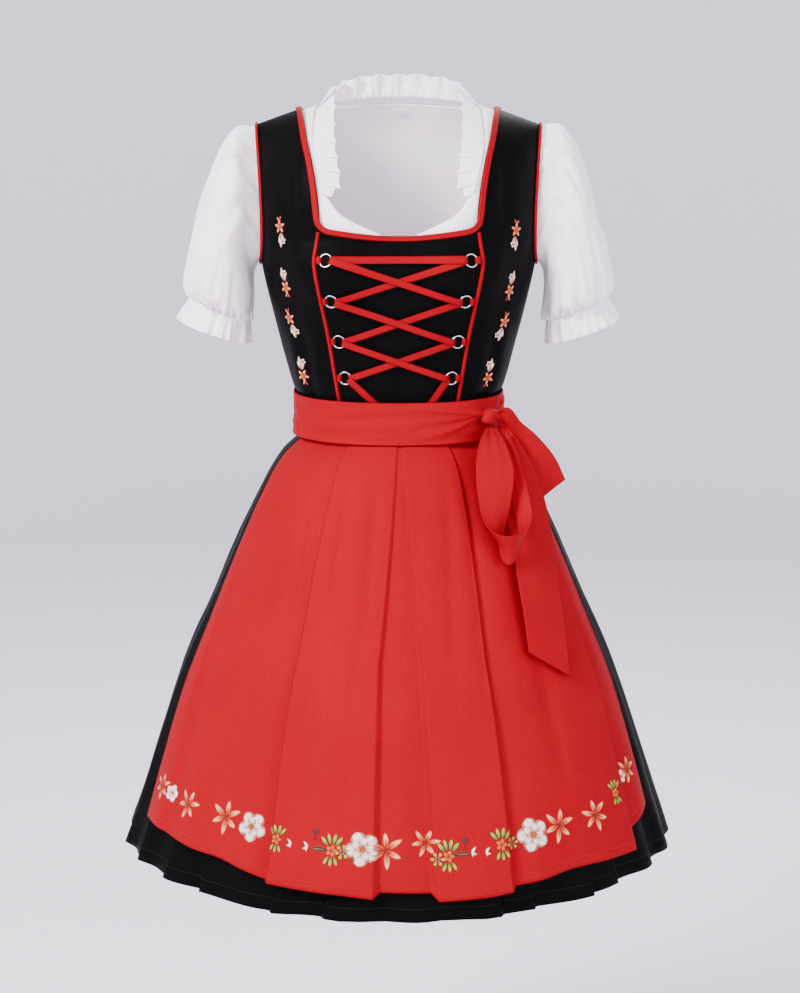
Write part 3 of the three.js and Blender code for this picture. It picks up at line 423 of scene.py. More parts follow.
def edge_fade(grid: Grid, margin: int) -> np.ndarray:
    """A mask from 1 to nothing at a grid's edges, over a margin of so many rows and columns."""
    down, across = (ease(np.minimum(np.arange(n), np.arange(n)[::-1]) / margin) for n in grid.shape[:2])
    return down[:, None] * across[None, :]


def moved_out(grid: Grid, distance: np.ndarray, closed: bool = False, flip: bool = False) -> Grid:
    """A grid moved along its own normals by a distance in mm, or against them where it is flipped."""
    way = -1.0 if flip else 1.0
    return grid + grid_normals(grid, closed) * distance[..., None] * way


def lengths(grid: Grid, closed: bool) -> tuple[np.ndarray, np.ndarray]:
    """Distances along the rows and columns of a grid.

    Args:
        grid: Points by row and column.
        closed: Whether the last column meets the first.

    Returns:
        Distances from the first column and from the first row, in mm.
    """
    full = np.concatenate([grid, grid[:, :1]], 1) if closed else grid
    across = np.linalg.norm(np.diff(full, axis=1), axis=2)
    up = np.linalg.norm(np.diff(full, axis=0), axis=2)
    u = np.concatenate([np.zeros((len(full), 1)), np.cumsum(across, 1)], 1)
    v = np.concatenate([np.zeros((1, full.shape[1])), np.cumsum(up, 0)], 0)
    return u, v


def turned_in(points: np.ndarray, quads: np.ndarray) -> bool:
    """Whether the faces of a closed skin are turned inwards."""
    a, b, c, d = (points[quads[:, i]] for i in range(4))
    return (np.cross(a, b) * c).sum() + (np.cross(a, c) * d).sum() < 0


def new_object(name: str, points: np.ndarray, faces: list, smooth: np.ndarray, scale: float = MM) -> bpy.types.Object:
    """A new object in the scene, at the origin.

    Args:
        name: The name of the object and of its mesh.
        points: Its points.
        faces: The corners of each face.
        smooth: Which faces are shaded smooth.
        scale: Metres to one unit of the points.

    Returns:
        The object.
    """
    mesh = bpy.data.meshes.new(name)
    mesh.from_pydata((points * scale).tolist(), [], faces)
    mesh.polygons.foreach_set("use_smooth", smooth)
    made = bpy.data.objects.new(name, mesh)
    bpy.context.scene.collection.objects.link(made)
    return made


@dataclass
class ClothPiece:
    """A wall of cloth between the grids of its two faces, as one object."""

    name: str
    outer: Grid
    wall: float = CLOTH
    closed: bool = False
    flip: bool = False
    inner: Grid | None = None
    keep: Callable[[np.ndarray, np.ndarray], np.ndarray] | None = None

    def mask(self) -> np.ndarray:
        """The cells of the grid that hold cloth."""
        rows, columns = self.outer.shape[:2]
        cells = columns if self.closed else columns - 1
        r, c = np.meshgrid(np.arange(rows - 1), np.arange(cells), indexing="ij")
        return np.ones((rows - 1, cells), bool) if self.keep is None else self.keep(r, c)

    def rims(self, kept: np.ndarray) -> list[tuple[np.ndarray, tuple[tuple[int, int], ...]]]:
        """The cells that have an open side, with the corners of that side."""
        below = np.zeros_like(kept)
        below[1:] = kept[:-1]
        above = np.zeros_like(kept)
        above[:-1] = kept[1:]
        before = np.roll(kept, 1, 1)
        after = np.roll(kept, -1, 1)
        if not self.closed:
            before[:, 0] = False
            after[:, -1] = False
        return [
            (kept & ~below, ((0, 0), (0, 1))),
            (kept & ~above, ((1, 1), (1, 0))),
            (kept & ~before, ((1, 0), (0, 0))),
            (kept & ~after, ((0, 1), (1, 1))),
        ]

    def build(self) -> bpy.types.Object:
        """Makes the mesh with its UV map in metres and its distance to the nearest edge.

        Returns:
            The new object, at the origin.
        """
        normals = grid_normals(self.outer, self.closed)
        rows, columns = self.outer.shape[:2]
        drop = self.wall if self.flip else -self.wall
        inner = self.outer + normals * drop if self.inner is None else self.inner
        kept = self.mask()
        around = ((0, 0), (0, 1), (1, 1), (1, 0))
        sides = [(kept, [(0, corner) for corner in around]), (kept, [(1, corner) for corner in around[::-1]])]
        for where, (first, second) in self.rims(kept):
            sides.append((where, [(1, first), (1, second), (0, second), (0, first)]))
        corners: list[np.ndarray] = []
        for where, ring in sides:
            r, c = np.nonzero(where)
            corners.append(np.stack([np.stack([np.full_like(r, k), r + a, c + b], -1) for k, (a, b) in ring], 1))
        faces = np.concatenate(corners)
        points = np.concatenate([self.outer.reshape(-1, 3), inner.reshape(-1, 3)])
        index = faces[..., 0] * rows * columns + faces[..., 1] * columns + faces[..., 2] % columns
        if turned_in(points, index):
            faces, index = faces[:, ::-1], index[:, ::-1]
        used, index = np.unique(index, return_inverse=True)
        index = index.reshape(-1, 4)
        smooth = np.arange(len(index)) < 2 * kept.sum()
        made = new_object(self.name, points[used], index.tolist(), smooth)
        u, v = lengths(self.outer, self.closed)
        place = faces.reshape(-1, 3)
        uv = np.stack([u[place[:, 1], place[:, 2]], v[place[:, 1], place[:, 2]]], -1) * MM
        made.data.uv_layers.new(name="cloth_metres").data.foreach_set("uv", uv.ravel())
        edge = self.edge_distance(u, v)[:, :columns].reshape(-1)
        data = made.data.attributes.new("edge_mm", "FLOAT", "POINT").data
        data.foreach_set("value", np.tile(edge, 2)[used])
        return made

    def edge_distance(self, u: np.ndarray, v: np.ndarray) -> np.ndarray:
        """Distance of each point from the nearest edge of the grid, in mm."""
        ends = np.minimum(v, v[-1:] - v)
        if self.closed:
            return ends
        return np.minimum(ends, np.minimum(u, u[:, -1:] - u))

    def cut(self) -> tuple[float, float, float]:
        """The width, length and area of the flat cut of what shows, in metres."""
        full = np.concatenate([self.outer, self.outer[:, :1]], 1) if self.closed else self.outer
        u, v = lengths(self.outer, self.closed)
        a, b, d, e = full[:-1, :-1], full[:-1, 1:], full[1:, 1:], full[1:, :-1]
        cells = np.linalg.norm(np.cross(d - a, e - b), axis=2) / 2
        area = float((cells * self.mask()).sum()) * MM * MM
        width, length = float(u[:, -1].max()) * MM, float(v[-1].max()) * MM
        return width, length, min(area, width * length)


class Fabric(Enum):
    """The fabrics: the name of the material and the slot of the record."""

    BODICE = ("black_satin", "satin_black")
    SKIRT = ("black_satin", "satin_black_skirt")
    APRON = ("red_satin", "satin_red")
    SASH = ("red_satin", "satin_red_sash")
    TRIM = ("red_trim", "satin_red_trim")
    LACE = ("red_trim", "lace_red")
    COTTON = ("white_cotton", "cotton_white")
    LABEL = ("woven_label", "label_white")
    RING = ("ring_steel", "ring_metal")


class Wardrobe:
    """Hangs finished pieces on the frame, reports them and keeps the shapes of the cloth."""

    least_share = 0.301  # of its flat rectangle that a sheet fills

    def __init__(self) -> None:
        """Starts with nothing hung."""
        self.shapes: dict[str, ClothPiece] = {}

    def hang(self, piece: bpy.types.Object, fabric: Fabric, *nodes: str, look: str | None = None) -> None:
        """Dresses a piece and lets it stand for its nodes.

        Args:
            piece: The finished object.
            fabric: Its fabric.
            nodes: The CAD nodes that it stands for.
            look: The name of its material where that isn't the fabric's.
        """
        name, slot = fabric.value
        piece.data.materials.clear()
        piece.data.materials.append(bpy.data.materials[look or name])
        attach(piece, "root")
        if nodes:
            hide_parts(*nodes)
        LOG.info("%s: %d faces", piece.name, len(piece.data.polygons))

    def cloth(
        self,
        shape: ClothPiece,
        fabric: Fabric,
        node: str,
        held: str = "stretched",
        rests_on: Sequence[str] = (),
    ) -> None:
        """Builds and dresses one sheet of cloth, logs its cut and keeps its shape.

        Args:
            shape: The cloth.
            fabric: Its fabric.
            node: The CAD node that it stands for.
            held: How it is held; not used.
            rests_on: What it lies on or hangs from; not used.
        """
        made = shape.build()
        self.hang(made, fabric, node)
        width, length, area = shape.cut()
        self.shapes[shape.name] = shape
        LOG.info("%s cut: %.3f x %.3f m, %.4f m2", shape.name, width, length, area)


def spots_between(inner: Pair, outer: Pair, columns: int) -> Pair:
    """Spots of the form by row and column, in equal steps between two edges of bearings and heights q."""
    t = np.linspace(0, 1, columns + 1)[None, :]
    return tuple(a[:, None] * (1 - t) + b[:, None] * t for a, b in zip(inner, outer))


def dense_pair(rows: Sequence[Pair] | Pair, at: np.ndarray) -> Pair:
    """Bearings and heights of an edge read smoothly at fractional rows."""
    return tuple(smooth_along(np.asarray(part), at) for part in rows)


# ---------------------------------------------------------------- materials
class Shader:
    """The node graph of a material or of a shader group."""

    def __init__(self, tree: bpy.types.NodeTree) -> None:
        """Keeps the graph."""
        self.tree = tree

    def feed(self, node: bpy.types.Node, inputs: dict[str | int, object]) -> bpy.types.Node:
        """Links or sets a node's inputs.

        Args:
            node: The node.
            inputs: A socket, number or tuple for each input; a colour goes without its alpha.

        Returns:
            The same node.
        """
        for name, value in inputs.items():
            socket = node.inputs[name]
            if isinstance(value, bpy.types.NodeSocket):
                self.tree.links.new(value, socket)
            else:
                socket.default_value = (*value, 1) if socket.type == "RGBA" else value
        return node

    def node(self, kind: str, inputs: dict[str | int, object], **settings: object) -> bpy.types.bpy_prop_collection:
        """The outputs of a new node.

        Args:
            kind: The node's type after "ShaderNode".
            inputs: What goes into it.
            settings: Its own settings.

        Returns:
            Its outputs.
        """
        made = self.tree.nodes.new("ShaderNode" + kind)
        for name, value in settings.items():
            setattr(made, name, value)
        return self.feed(made, inputs).outputs

    def group(self, tree: bpy.types.NodeTree, place: bpy.types.NodeSocket, **numbers: float) -> object:
        """The outputs of a shader group at a place."""
        return self.node("Group", {"Place": place, **numbers}, node_tree=tree)

    def math(self, kind: str, a: object, b: object) -> bpy.types.NodeSocket:
        """The result of a Math node."""
        return self.node("Math", {0: a, 1: b}, operation=kind)[0]

    def blend(self, share: object, a: object, b: object, kind: str = "MIX") -> bpy.types.NodeSocket:
        """A blend of two colours."""
        inputs = {"Factor": share, "A": a, "B": b}
        return self.node("Mix", inputs, data_type="RGBA", blend_type=kind)["Result"]

    def between(self, value: object, low: float, high: float) -> bpy.types.NodeSocket:
        """A number from 0 to 1 brought between two others."""
        return self.node("MapRange", {"Value": value, "To Min": low, "To Max": high})["Result"]

    def bump(self, height: object, depth: float, **more: object) -> bpy.types.NodeSocket:
        """The normal of a relief that is so many mm deep."""
        return self.node("Bump", {"Height": height, "Distance": depth * MM, **more})["Normal"]


class Effects:
    """Shader groups that more than one material uses, each built once."""

    def __init__(self) -> None:
        """Builds the groups."""
        self.weave = self.build_weave()
        self.crumple = self.build_crumple()
        self.tone = self.build_tone_and_edge_shade()

    @staticmethod
    def group(name: str, numbers: Sequence[str], results: Sequence[str]) -> tuple[Shader, object, bpy.types.Node]:
        """An empty shader group with a place, some numbers and its results.

        Args:
            name: The group's name.
            numbers: Names of its number inputs.
            results: Names of its outputs.

        Returns:
            Its graph, the sockets given to it and its output node.
        """
        tree = bpy.data.node_groups.new(name, "ShaderNodeTree")
        tree.interface.new_socket("Place", in_out="INPUT", socket_type="NodeSocketVector")
        for label in numbers:
            tree.interface.new_socket(label, in_out="INPUT", socket_type="NodeSocketFloat")
        for label in results:
            tree.interface.new_socket(label, in_out="OUTPUT", socket_type="NodeSocketFloat")
        return Shader(tree), tree.nodes.new("NodeGroupInput").outputs, tree.nodes.new("NodeGroupOutput")

    def build_weave(self) -> bpy.types.NodeTree:
        """Warp and weft threads: floats along the cloth, crossed by finer ones."""
        graph, given, made = self.group("woven_threads", ("Warp", "Weft"), ("Height", "Mottle"))
        parts = graph.node("SeparateXYZ", {0: given["Place"]})
        ribs = []
        for axis, count in ((0, "Warp"), (1, "Weft")):
            turns = graph.math("MULTIPLY", parts[axis], given[count])
            wave = graph.math("SINE", graph.math("MULTIPLY", turns, 2 * math.pi), 0)
            ribs.append(graph.math("MULTIPLY", wave, 0.5))
        both = graph.math("ADD", graph.math("MAXIMUM", *ribs), 0.5)
        spread = graph.node("Mapping", {"Vector": given["Place"], "Scale": (1500.0, 90.0, 1.0)})[0]
        slub = graph.node("TexNoise", {"Vector": spread, "Scale": 1.0, "Detail": 2.0})["Fac"]
        graph.feed(made, {"Height": graph.math("ADD", both, slub), "Mottle": slub})
        return graph.tree

    def build_crumple(self) -> bpy.types.NodeTree:
        """Soft unevenness of hanging cloth, longer downwards than across."""
        graph, given, made = self.group("soft_crumple", ("Scale",), ("Height",))
        stretch = graph.node("Mapping", {"Vector": given["Place"], "Scale": (1.0, 1.0, 0.42)})[0]
        total: object = 0.0
        for times, share in ((1.0, 0.7), (2.7, 0.3)):
            scale = graph.math("MULTIPLY", given["Scale"], times)
            noise = graph.node("TexNoise", {"Vector": stretch, "Scale": scale, "Detail": 3.0, "Distortion": 0.7})
            total = graph.math("ADD", total, graph.math("MULTIPLY", noise["Fac"], share))
        graph.feed(made, {"Height": total})
        return graph.tree

    def build_tone_and_edge_shade(self) -> bpy.types.NodeTree:
        """A mask of slow changes of tone, and a mask of painted shade that darkens the last 3 mm before an edge."""
        graph, given, made = self.group("cloth_tone_and_edge_shade", ("Scale",), ("Tone", "Edge"))
        clouds = {"Vector": given["Place"], "Scale": given["Scale"], "Detail": 4.0, "Roughness": 0.55}
        edge = graph.node("Attribute", {}, attribute_name="edge_mm")["Fac"]
        # Painted shade: darker over the last 3 mm before each edge, standing in for the shading of the turned edge.
        edge_shade_range = {"Value": edge, "From Min": 0.0, "From Max": 3.0, "To Min": 1.0, "To Max": 0.0}
        edge_shade_mask = graph.node("MapRange", edge_shade_range, interpolation_type="SMOOTHSTEP")
        graph.feed(made, {"Tone": graph.node("TexNoise", clouds)["Fac"], "Edge": edge_shade_mask["Result"]})
        return graph.tree


# ---------------------------------------------------------------- finishes
def new_look(name: str) -> tuple[bpy.types.Material, Shader, bpy.types.Node]:
    """A new material with its graph and its surface shader."""
    look = bpy.data.materials.new(name)
    look.use_nodes = True
    return look, Shader(look.node_tree), look.node_tree.nodes["Principled BSDF"]


@dataclass(frozen=True)
class ClothFinish:
    """The look of one cloth: colours, roughness, sheen, threads a metre, and depths of its relief in mm."""

    name: str
    colour: Colour
    shade: Colour
    roughness: tuple[float, float]
    sheen: float
    sheen_tint: Colour
    warp: float
    weft: float
    weave_depth: float
    crumple_scale: float
    crumple_depth: float
    specular: float
    tone_scale: float = 9.0
    tone_share: float = 0.6
    mottle_share: float = 0.35
    # share of the painted edge shade in the darker colour
    edge_shade_share: float = 0.25

    def build(self, effects: Effects) -> None:
        """Makes the material.

        Args:
            effects: The shared shader groups.
        """
        _, graph, surface = new_look(self.name)
        coords = graph.node("TexCoord", {})
        tone = graph.group(effects.tone, coords["Object"], Scale=self.tone_scale)
        weave = graph.group(effects.weave, coords["UV"], Warp=self.warp, Weft=self.weft)
        crumple = graph.group(effects.crumple, coords["Object"], Scale=self.crumple_scale)["Height"]
        mottle = graph.math("MULTIPLY", weave["Mottle"], self.mottle_share)
        both = graph.math("ADD", graph.math("MULTIPLY", tone["Tone"], self.tone_share), mottle)
        # The darker colour comes in with the random tone and the weave's mottle, and as painted shade near the edges.
        share = graph.math("ADD", both, graph.math("MULTIPLY", tone["Edge"], self.edge_shade_share))
        soft = graph.bump(crumple, self.crumple_depth)
        graph.feed(
            surface,
            {
                "Base Color": graph.blend(share, self.colour, self.shade),
                "Roughness": graph.between(crumple, *self.roughness),
                "Normal": graph.bump(weave["Height"], self.weave_depth, Strength=0.6, Normal=soft),
                "Sheen Weight": self.sheen,
                "Sheen Roughness": 0.35,
                "Sheen Tint": self.sheen_tint,
                "Specular IOR Level": self.specular,
                "Specular Tint": self.sheen_tint,
            },
        )


@dataclass(frozen=True)
class ThreadFinish:
    """The look of embroidery and sewing threads, coloured by the points of the piece."""

    name: str = "embroidery_thread"
    warp: float = 1700.0
    weft: float = 60.0
    shade: Colour = (0.45, 0.42, 0.42)

    def build(self, effects: Effects) -> None:
        """Makes the material.

        Args:
            effects: The shared shader groups.
        """
        _, graph, surface = new_look(self.name)
        colour = graph.node("Attribute", {}, attribute_name="thread_colour")["Color"]
        weave = graph.group(effects.weave, graph.node("TexCoord", {})["UV"], Warp=self.warp, Weft=self.weft)
        share = graph.math("MULTIPLY", weave["Mottle"], 0.5)
        graph.feed(
            surface,
            {
                "Base Color": graph.blend(share, colour, self.shade, "MULTIPLY"),
                "Roughness": graph.between(weave["Mottle"], 0.38, 0.6),
                "Normal": graph.bump(weave["Height"], 0.12),
                "Sheen Weight": 0.04,
                "Specular IOR Level": 0.25,
            },
        )


@dataclass(frozen=True)
class MetalFinish:
    """The look of the lacing rings, with fine scratches."""

    name: str = "ring_steel"
    colour: Colour = (0.62, 0.62, 0.64)
    shade: Colour = (0.38, 0.37, 0.38)

    def build(self, effects: Effects) -> None:
        """Makes the material.

        Args:
            effects: The shared shader groups.
        """
        _, graph, surface = new_look(self.name)
        scratch = graph.group(effects.crumple, graph.node("TexCoord", {})["Object"], Scale=420.0)["Height"]
        graph.feed(
            surface,
            {
                "Base Color": graph.blend(scratch, self.colour, self.shade),
                "Metallic": 1.0,
                "Roughness": graph.between(scratch, 0.16, 0.36),
                "Normal": graph.bump(scratch, 0.03),
            },
        )


SATIN_TINT: Colour = (1.0, 0.3, 0.32)
FINISHES = (
    ClothFinish(
        "red_satin", (0.285, 0.0003, 0.007), (0.195, 0.0002, 0.0045), (0.48, 0.62), 0.012, SATIN_TINT,
        warp=1400, weft=900, weave_depth=0.05, crumple_scale=11, crumple_depth=1.5, specular=0.045,
    ),
    ClothFinish(
        "red_trim", (0.25, 0.0003, 0.006), (0.17, 0.0002, 0.004), (0.48, 0.62), 0.012, SATIN_TINT,
        warp=1500, weft=500, weave_depth=0.07, crumple_scale=60, crumple_depth=0.25, specular=0.06,
    ),
    ClothFinish(
        "black_satin", (0.0026, 0.0024, 0.0026), (0.0013, 0.0012, 0.0013), (0.42, 0.56), 0.002, (0.7, 0.7, 0.78),
        warp=1500, weft=950, weave_depth=0.05, crumple_scale=13, crumple_depth=1.5, specular=0.02,
    ),
    ClothFinish(
        "white_cotton", (0.93, 0.855, 0.92), (0.88, 0.805, 0.87), (0.72, 0.88), 0.2, (1, 1, 1),
        warp=1200, weft=1150, weave_depth=0.09, crumple_scale=34, crumple_depth=0.8, specular=0.3,
    ),
    ClothFinish(
        "woven_label", (0.95, 0.94, 0.95), (0.86, 0.85, 0.87), (0.45, 0.6), 0.1, (1, 1, 1),
        warp=2600, weft=2600, weave_depth=0.06, crumple_scale=90, crumple_depth=0.1, specular=0.4,
    ),
    ThreadFinish(),
    MetalFinish(),
)


# ---------------------------------------------------------------- sewing
@dataclass
class Threadwork:
    """Stitches and satin-stitched petals gathered into one mesh; sizes of the stitches in mm."""

    name: str
    pitch: float = 3.4
    length: float = 2.5
    thick: float = 0.22
    points: list[np.ndarray] = field(default_factory=list)
    faces: list[np.ndarray] = field(default_factory=list)
    colours: list[np.ndarray] = field(default_factory=list)
    places: list[np.ndarray] = field(default_factory=list)
    count: int = 0

    def add(self, grid: Grid, colour: np.ndarray, place: np.ndarray, closed: bool = False) -> None:
        """Adds a small grid of thread.

        Args:
            grid: Points by row and column in mm.
            colour: A colour for each point.
            place: UV of each point in metres.
            closed: Whether the columns run round.
        """
        rows, columns = grid.shape[:2]
        cells = columns if closed else columns - 1
        r, c = np.meshgrid(np.arange(rows - 1), np.arange(cells), indexing="ij")
        a, b = r * columns + c, r * columns + (c + 1) % columns
        quads = np.stack([a, b, b + columns, a + columns], -1).reshape(-1, 4)
        self.faces.append(quads + self.count)
        self.points.append(grid.reshape(-1, 3))
        self.colours.append(np.broadcast_to(colour, grid.shape).reshape(-1, 3))
        self.places.append(place.reshape(-1, 2))
        self.count += rows * columns

    def stitches(self, path: np.ndarray, outward: np.ndarray, colour: Sequence[float]) -> None:
        """A line of sewn stitches along a path.

        Args:
            path: Points on the cloth in mm.
            outward: The cloth's direction at each point.
            colour: The thread's colour.
        """
        steps = run_along(path)
        s = np.linspace(0, 1, 5)
        radius = self.thick * np.sqrt(np.clip(np.sin(np.pi * np.clip(s, 0.06, 0.94)), 0, 1))[:, None, None]
        turns = np.linspace(0, 2 * np.pi, 5, endpoint=False)[None, :, None]
        place = np.zeros((5, 5, 2)) + s[:, None, None] * self.length * MM
        for start in np.arange(self.pitch / 2, steps[-1] - self.length, self.pitch):
            at = start + s * self.length
            line = np.stack([np.interp(at, steps, path[:, k]) for k in range(3)], -1)
            up = unit(np.stack([np.interp(at, steps, outward[:, k]) for k in range(3)], -1))
            side = unit(np.cross(up, np.gradient(line, axis=0)))
            ring = side[:, None] * np.cos(turns) + up[:, None] * np.sin(turns)
            self.add(line[:, None] + ring * radius + up[:, None] * 0.12, np.array(colour), place, closed=True)

    def build(self) -> bpy.types.Object:
        """Makes the mesh with its colours and UV map.

        Returns:
            The new object, at the origin.
        """
        faces = np.concatenate(self.faces)
        made = new_object(self.name, np.concatenate(self.points), faces.tolist(), np.ones(len(faces), bool))
        colours = np.concatenate(self.colours)
        tint = made.data.attributes.new("thread_colour", "FLOAT_COLOR", "POINT")
        tint.data.foreach_set("color", np.concatenate([colours, np.ones((len(colours), 1))], 1).ravel())
        uv = np.concatenate(self.places)[faces.ravel()]
        made.data.uv_layers.new(name="thread_metres").data.foreach_set("uv", uv.ravel())
        return made


# ---------------------------------------------------------------- strips and bindings
def strip_object(name: str, rings: Grid) -> bpy.types.Object:
    """A long closed strip, such as a binding, from the rings of its section.

    Args:
        name: The object's name.
        rings: Points by place along the strip and round its section, in mm.

    Returns:
        The new object, at the origin.
    """
    rows, around = rings.shape[:2]
    r, c = np.meshgrid(np.arange(rows - 1), np.arange(around), indexing="ij")
    a, b = r * around + c, r * around + (c + 1) % around
    quads = np.stack([a, b, b + around, a + around], -1).reshape(-1, 4)
    points = rings.reshape(-1, 3)
    ends = [list(range(around))[::-1], [(rows - 1) * around + k for k in range(around)]]
    faces = quads.tolist() + ends
    if turned_in(points, quads):
        faces = [face[::-1] for face in faces]
    made = new_object(name, points, faces, np.arange(len(faces)) < len(quads))
    along = run_along(rings.mean(1))
    ring = np.linalg.norm(np.diff(np.concatenate([rings, rings[:, :1]], 1), axis=1), axis=2)
    across = np.concatenate([[0], np.cumsum(ring.mean(0))])
    corner = np.array([v for face in faces for v in face])
    uv = np.stack([across[corner % around], along[corner // around]], -1) * MM
    made.data.uv_layers.new(name="cloth_metres").data.foreach_set("uv", uv.ravel())
    made.data.attributes.new("edge_mm", "FLOAT", "POINT").data.foreach_set("value", np.full(len(points), 3.0))
    return made


def profile(ridges: int, points: int, low: float, high: float, groove: float) -> np.ndarray:
    """The section of a padded strip as a loop: share of its width and height over the form.

    Args:
        ridges: How many rounded ridges run along it.
        points: Points on its outer face.
        low: Height of its flat under face, mm.
        high: Height of its ridges, mm.
        groove: How deep the grooves between the ridges are, mm.

    Returns:
        Pairs of share and height.
    """
    s = np.linspace(0, 1, points)
    ridge = np.abs(np.sin(np.pi * ridges * s)) ** 0.6
    border = np.sqrt(np.clip(1 - np.abs(2 * s - 1) ** 5, 0, 1))
    height = low + 0.15 + (high - low - 0.15) * border - groove * (1 - ridge) * border
    under = np.stack([np.linspace(1, 0, 5), np.full(5, low)], -1)
    return np.concatenate([np.stack([s, height], -1), under])


def strip_rings(inner: Pair, outer: Pair, section: np.ndarray) -> Grid:
    """Rings of a strip that lies on the form between two edges.

    Args:
        inner: Bearings and heights of the first edge.
        outer: The same of the other edge.
        section: Pairs of share and height, as from profile.

    Returns:
        Points by place along the strip and round its section.
    """
    share, height = section[:, 0][None, :], section[:, 1][None, :]
    bearing, q = (a[:, None] * (1 - share) + b[:, None] * share for a, b in zip(inner, outer))
    return FORM.at(bearing, np.minimum(q, FORM.ridge), np.broadcast_to(height, bearing.shape))


def moved_edge(edge: np.ndarray, distance: float) -> np.ndarray:
    """An edge of x and level moved into the cloth, across its own direction.

    Args:
        edge: Pairs of x and level; a level over the shoulder line stays there.
        distance: How far, in mm.

    Returns:
        The moved pairs.
    """
    flat = edge.copy()
    top = edge[:, 1] >= RIDGE_LEVEL
    flat[top, 1] = FORM.shoulder_line(flat[top, 0])
    steps = unit(np.array([flat[min(i + 1, len(flat) - 1)] - flat[max(i - 1, 0)] for i in range(len(flat))]))
    moved = np.stack([flat[:, 0] + steps[:, 1] * distance, flat[:, 1] - steps[:, 0] * distance], -1)
    moved[top, 1] = RIDGE_LEVEL
    return moved


# ---------------------------------------------------------------- bodice
LEVELS = (WAIST, -345, -313, -268, -222, -181)  # of the bodice's rows below the armhole
SEAM = Sections(
    ("across",),
    (
        (WAIST, 71), (-345, 74), (-313, 79), (-268, 86), (-218, 95.5), (-190, 100.5), (-173, 102), (-155, 99.5),
        (-135, 96.5),
    ),
)
STRAP_FRONT = ((96.5, -117), (100, -86), (106, -53), (114, -20), (123, RIDGE_LEVEL))
STRAP_BACK = ((62, -69), (88, -57), (104, -38), (115, -14), (123, RIDGE_LEVEL))
NECK_HALF = STRAP_FRONT[::-1] + ((94, -128), (87, -134), (74, -136.8), (50, -140.2), (25, -142.7))
RINGS = ((87.5, -173), (81.5, -222), (72.5, -273), (65, -319))


@dataclass
class Part:
    """A group of pieces that are made together."""

    wardrobe: Wardrobe
    seed: int = 1

    def __post_init__(self) -> None:
        """Makes the part's own noise."""
        self.noise = SoftNoise(self.seed)


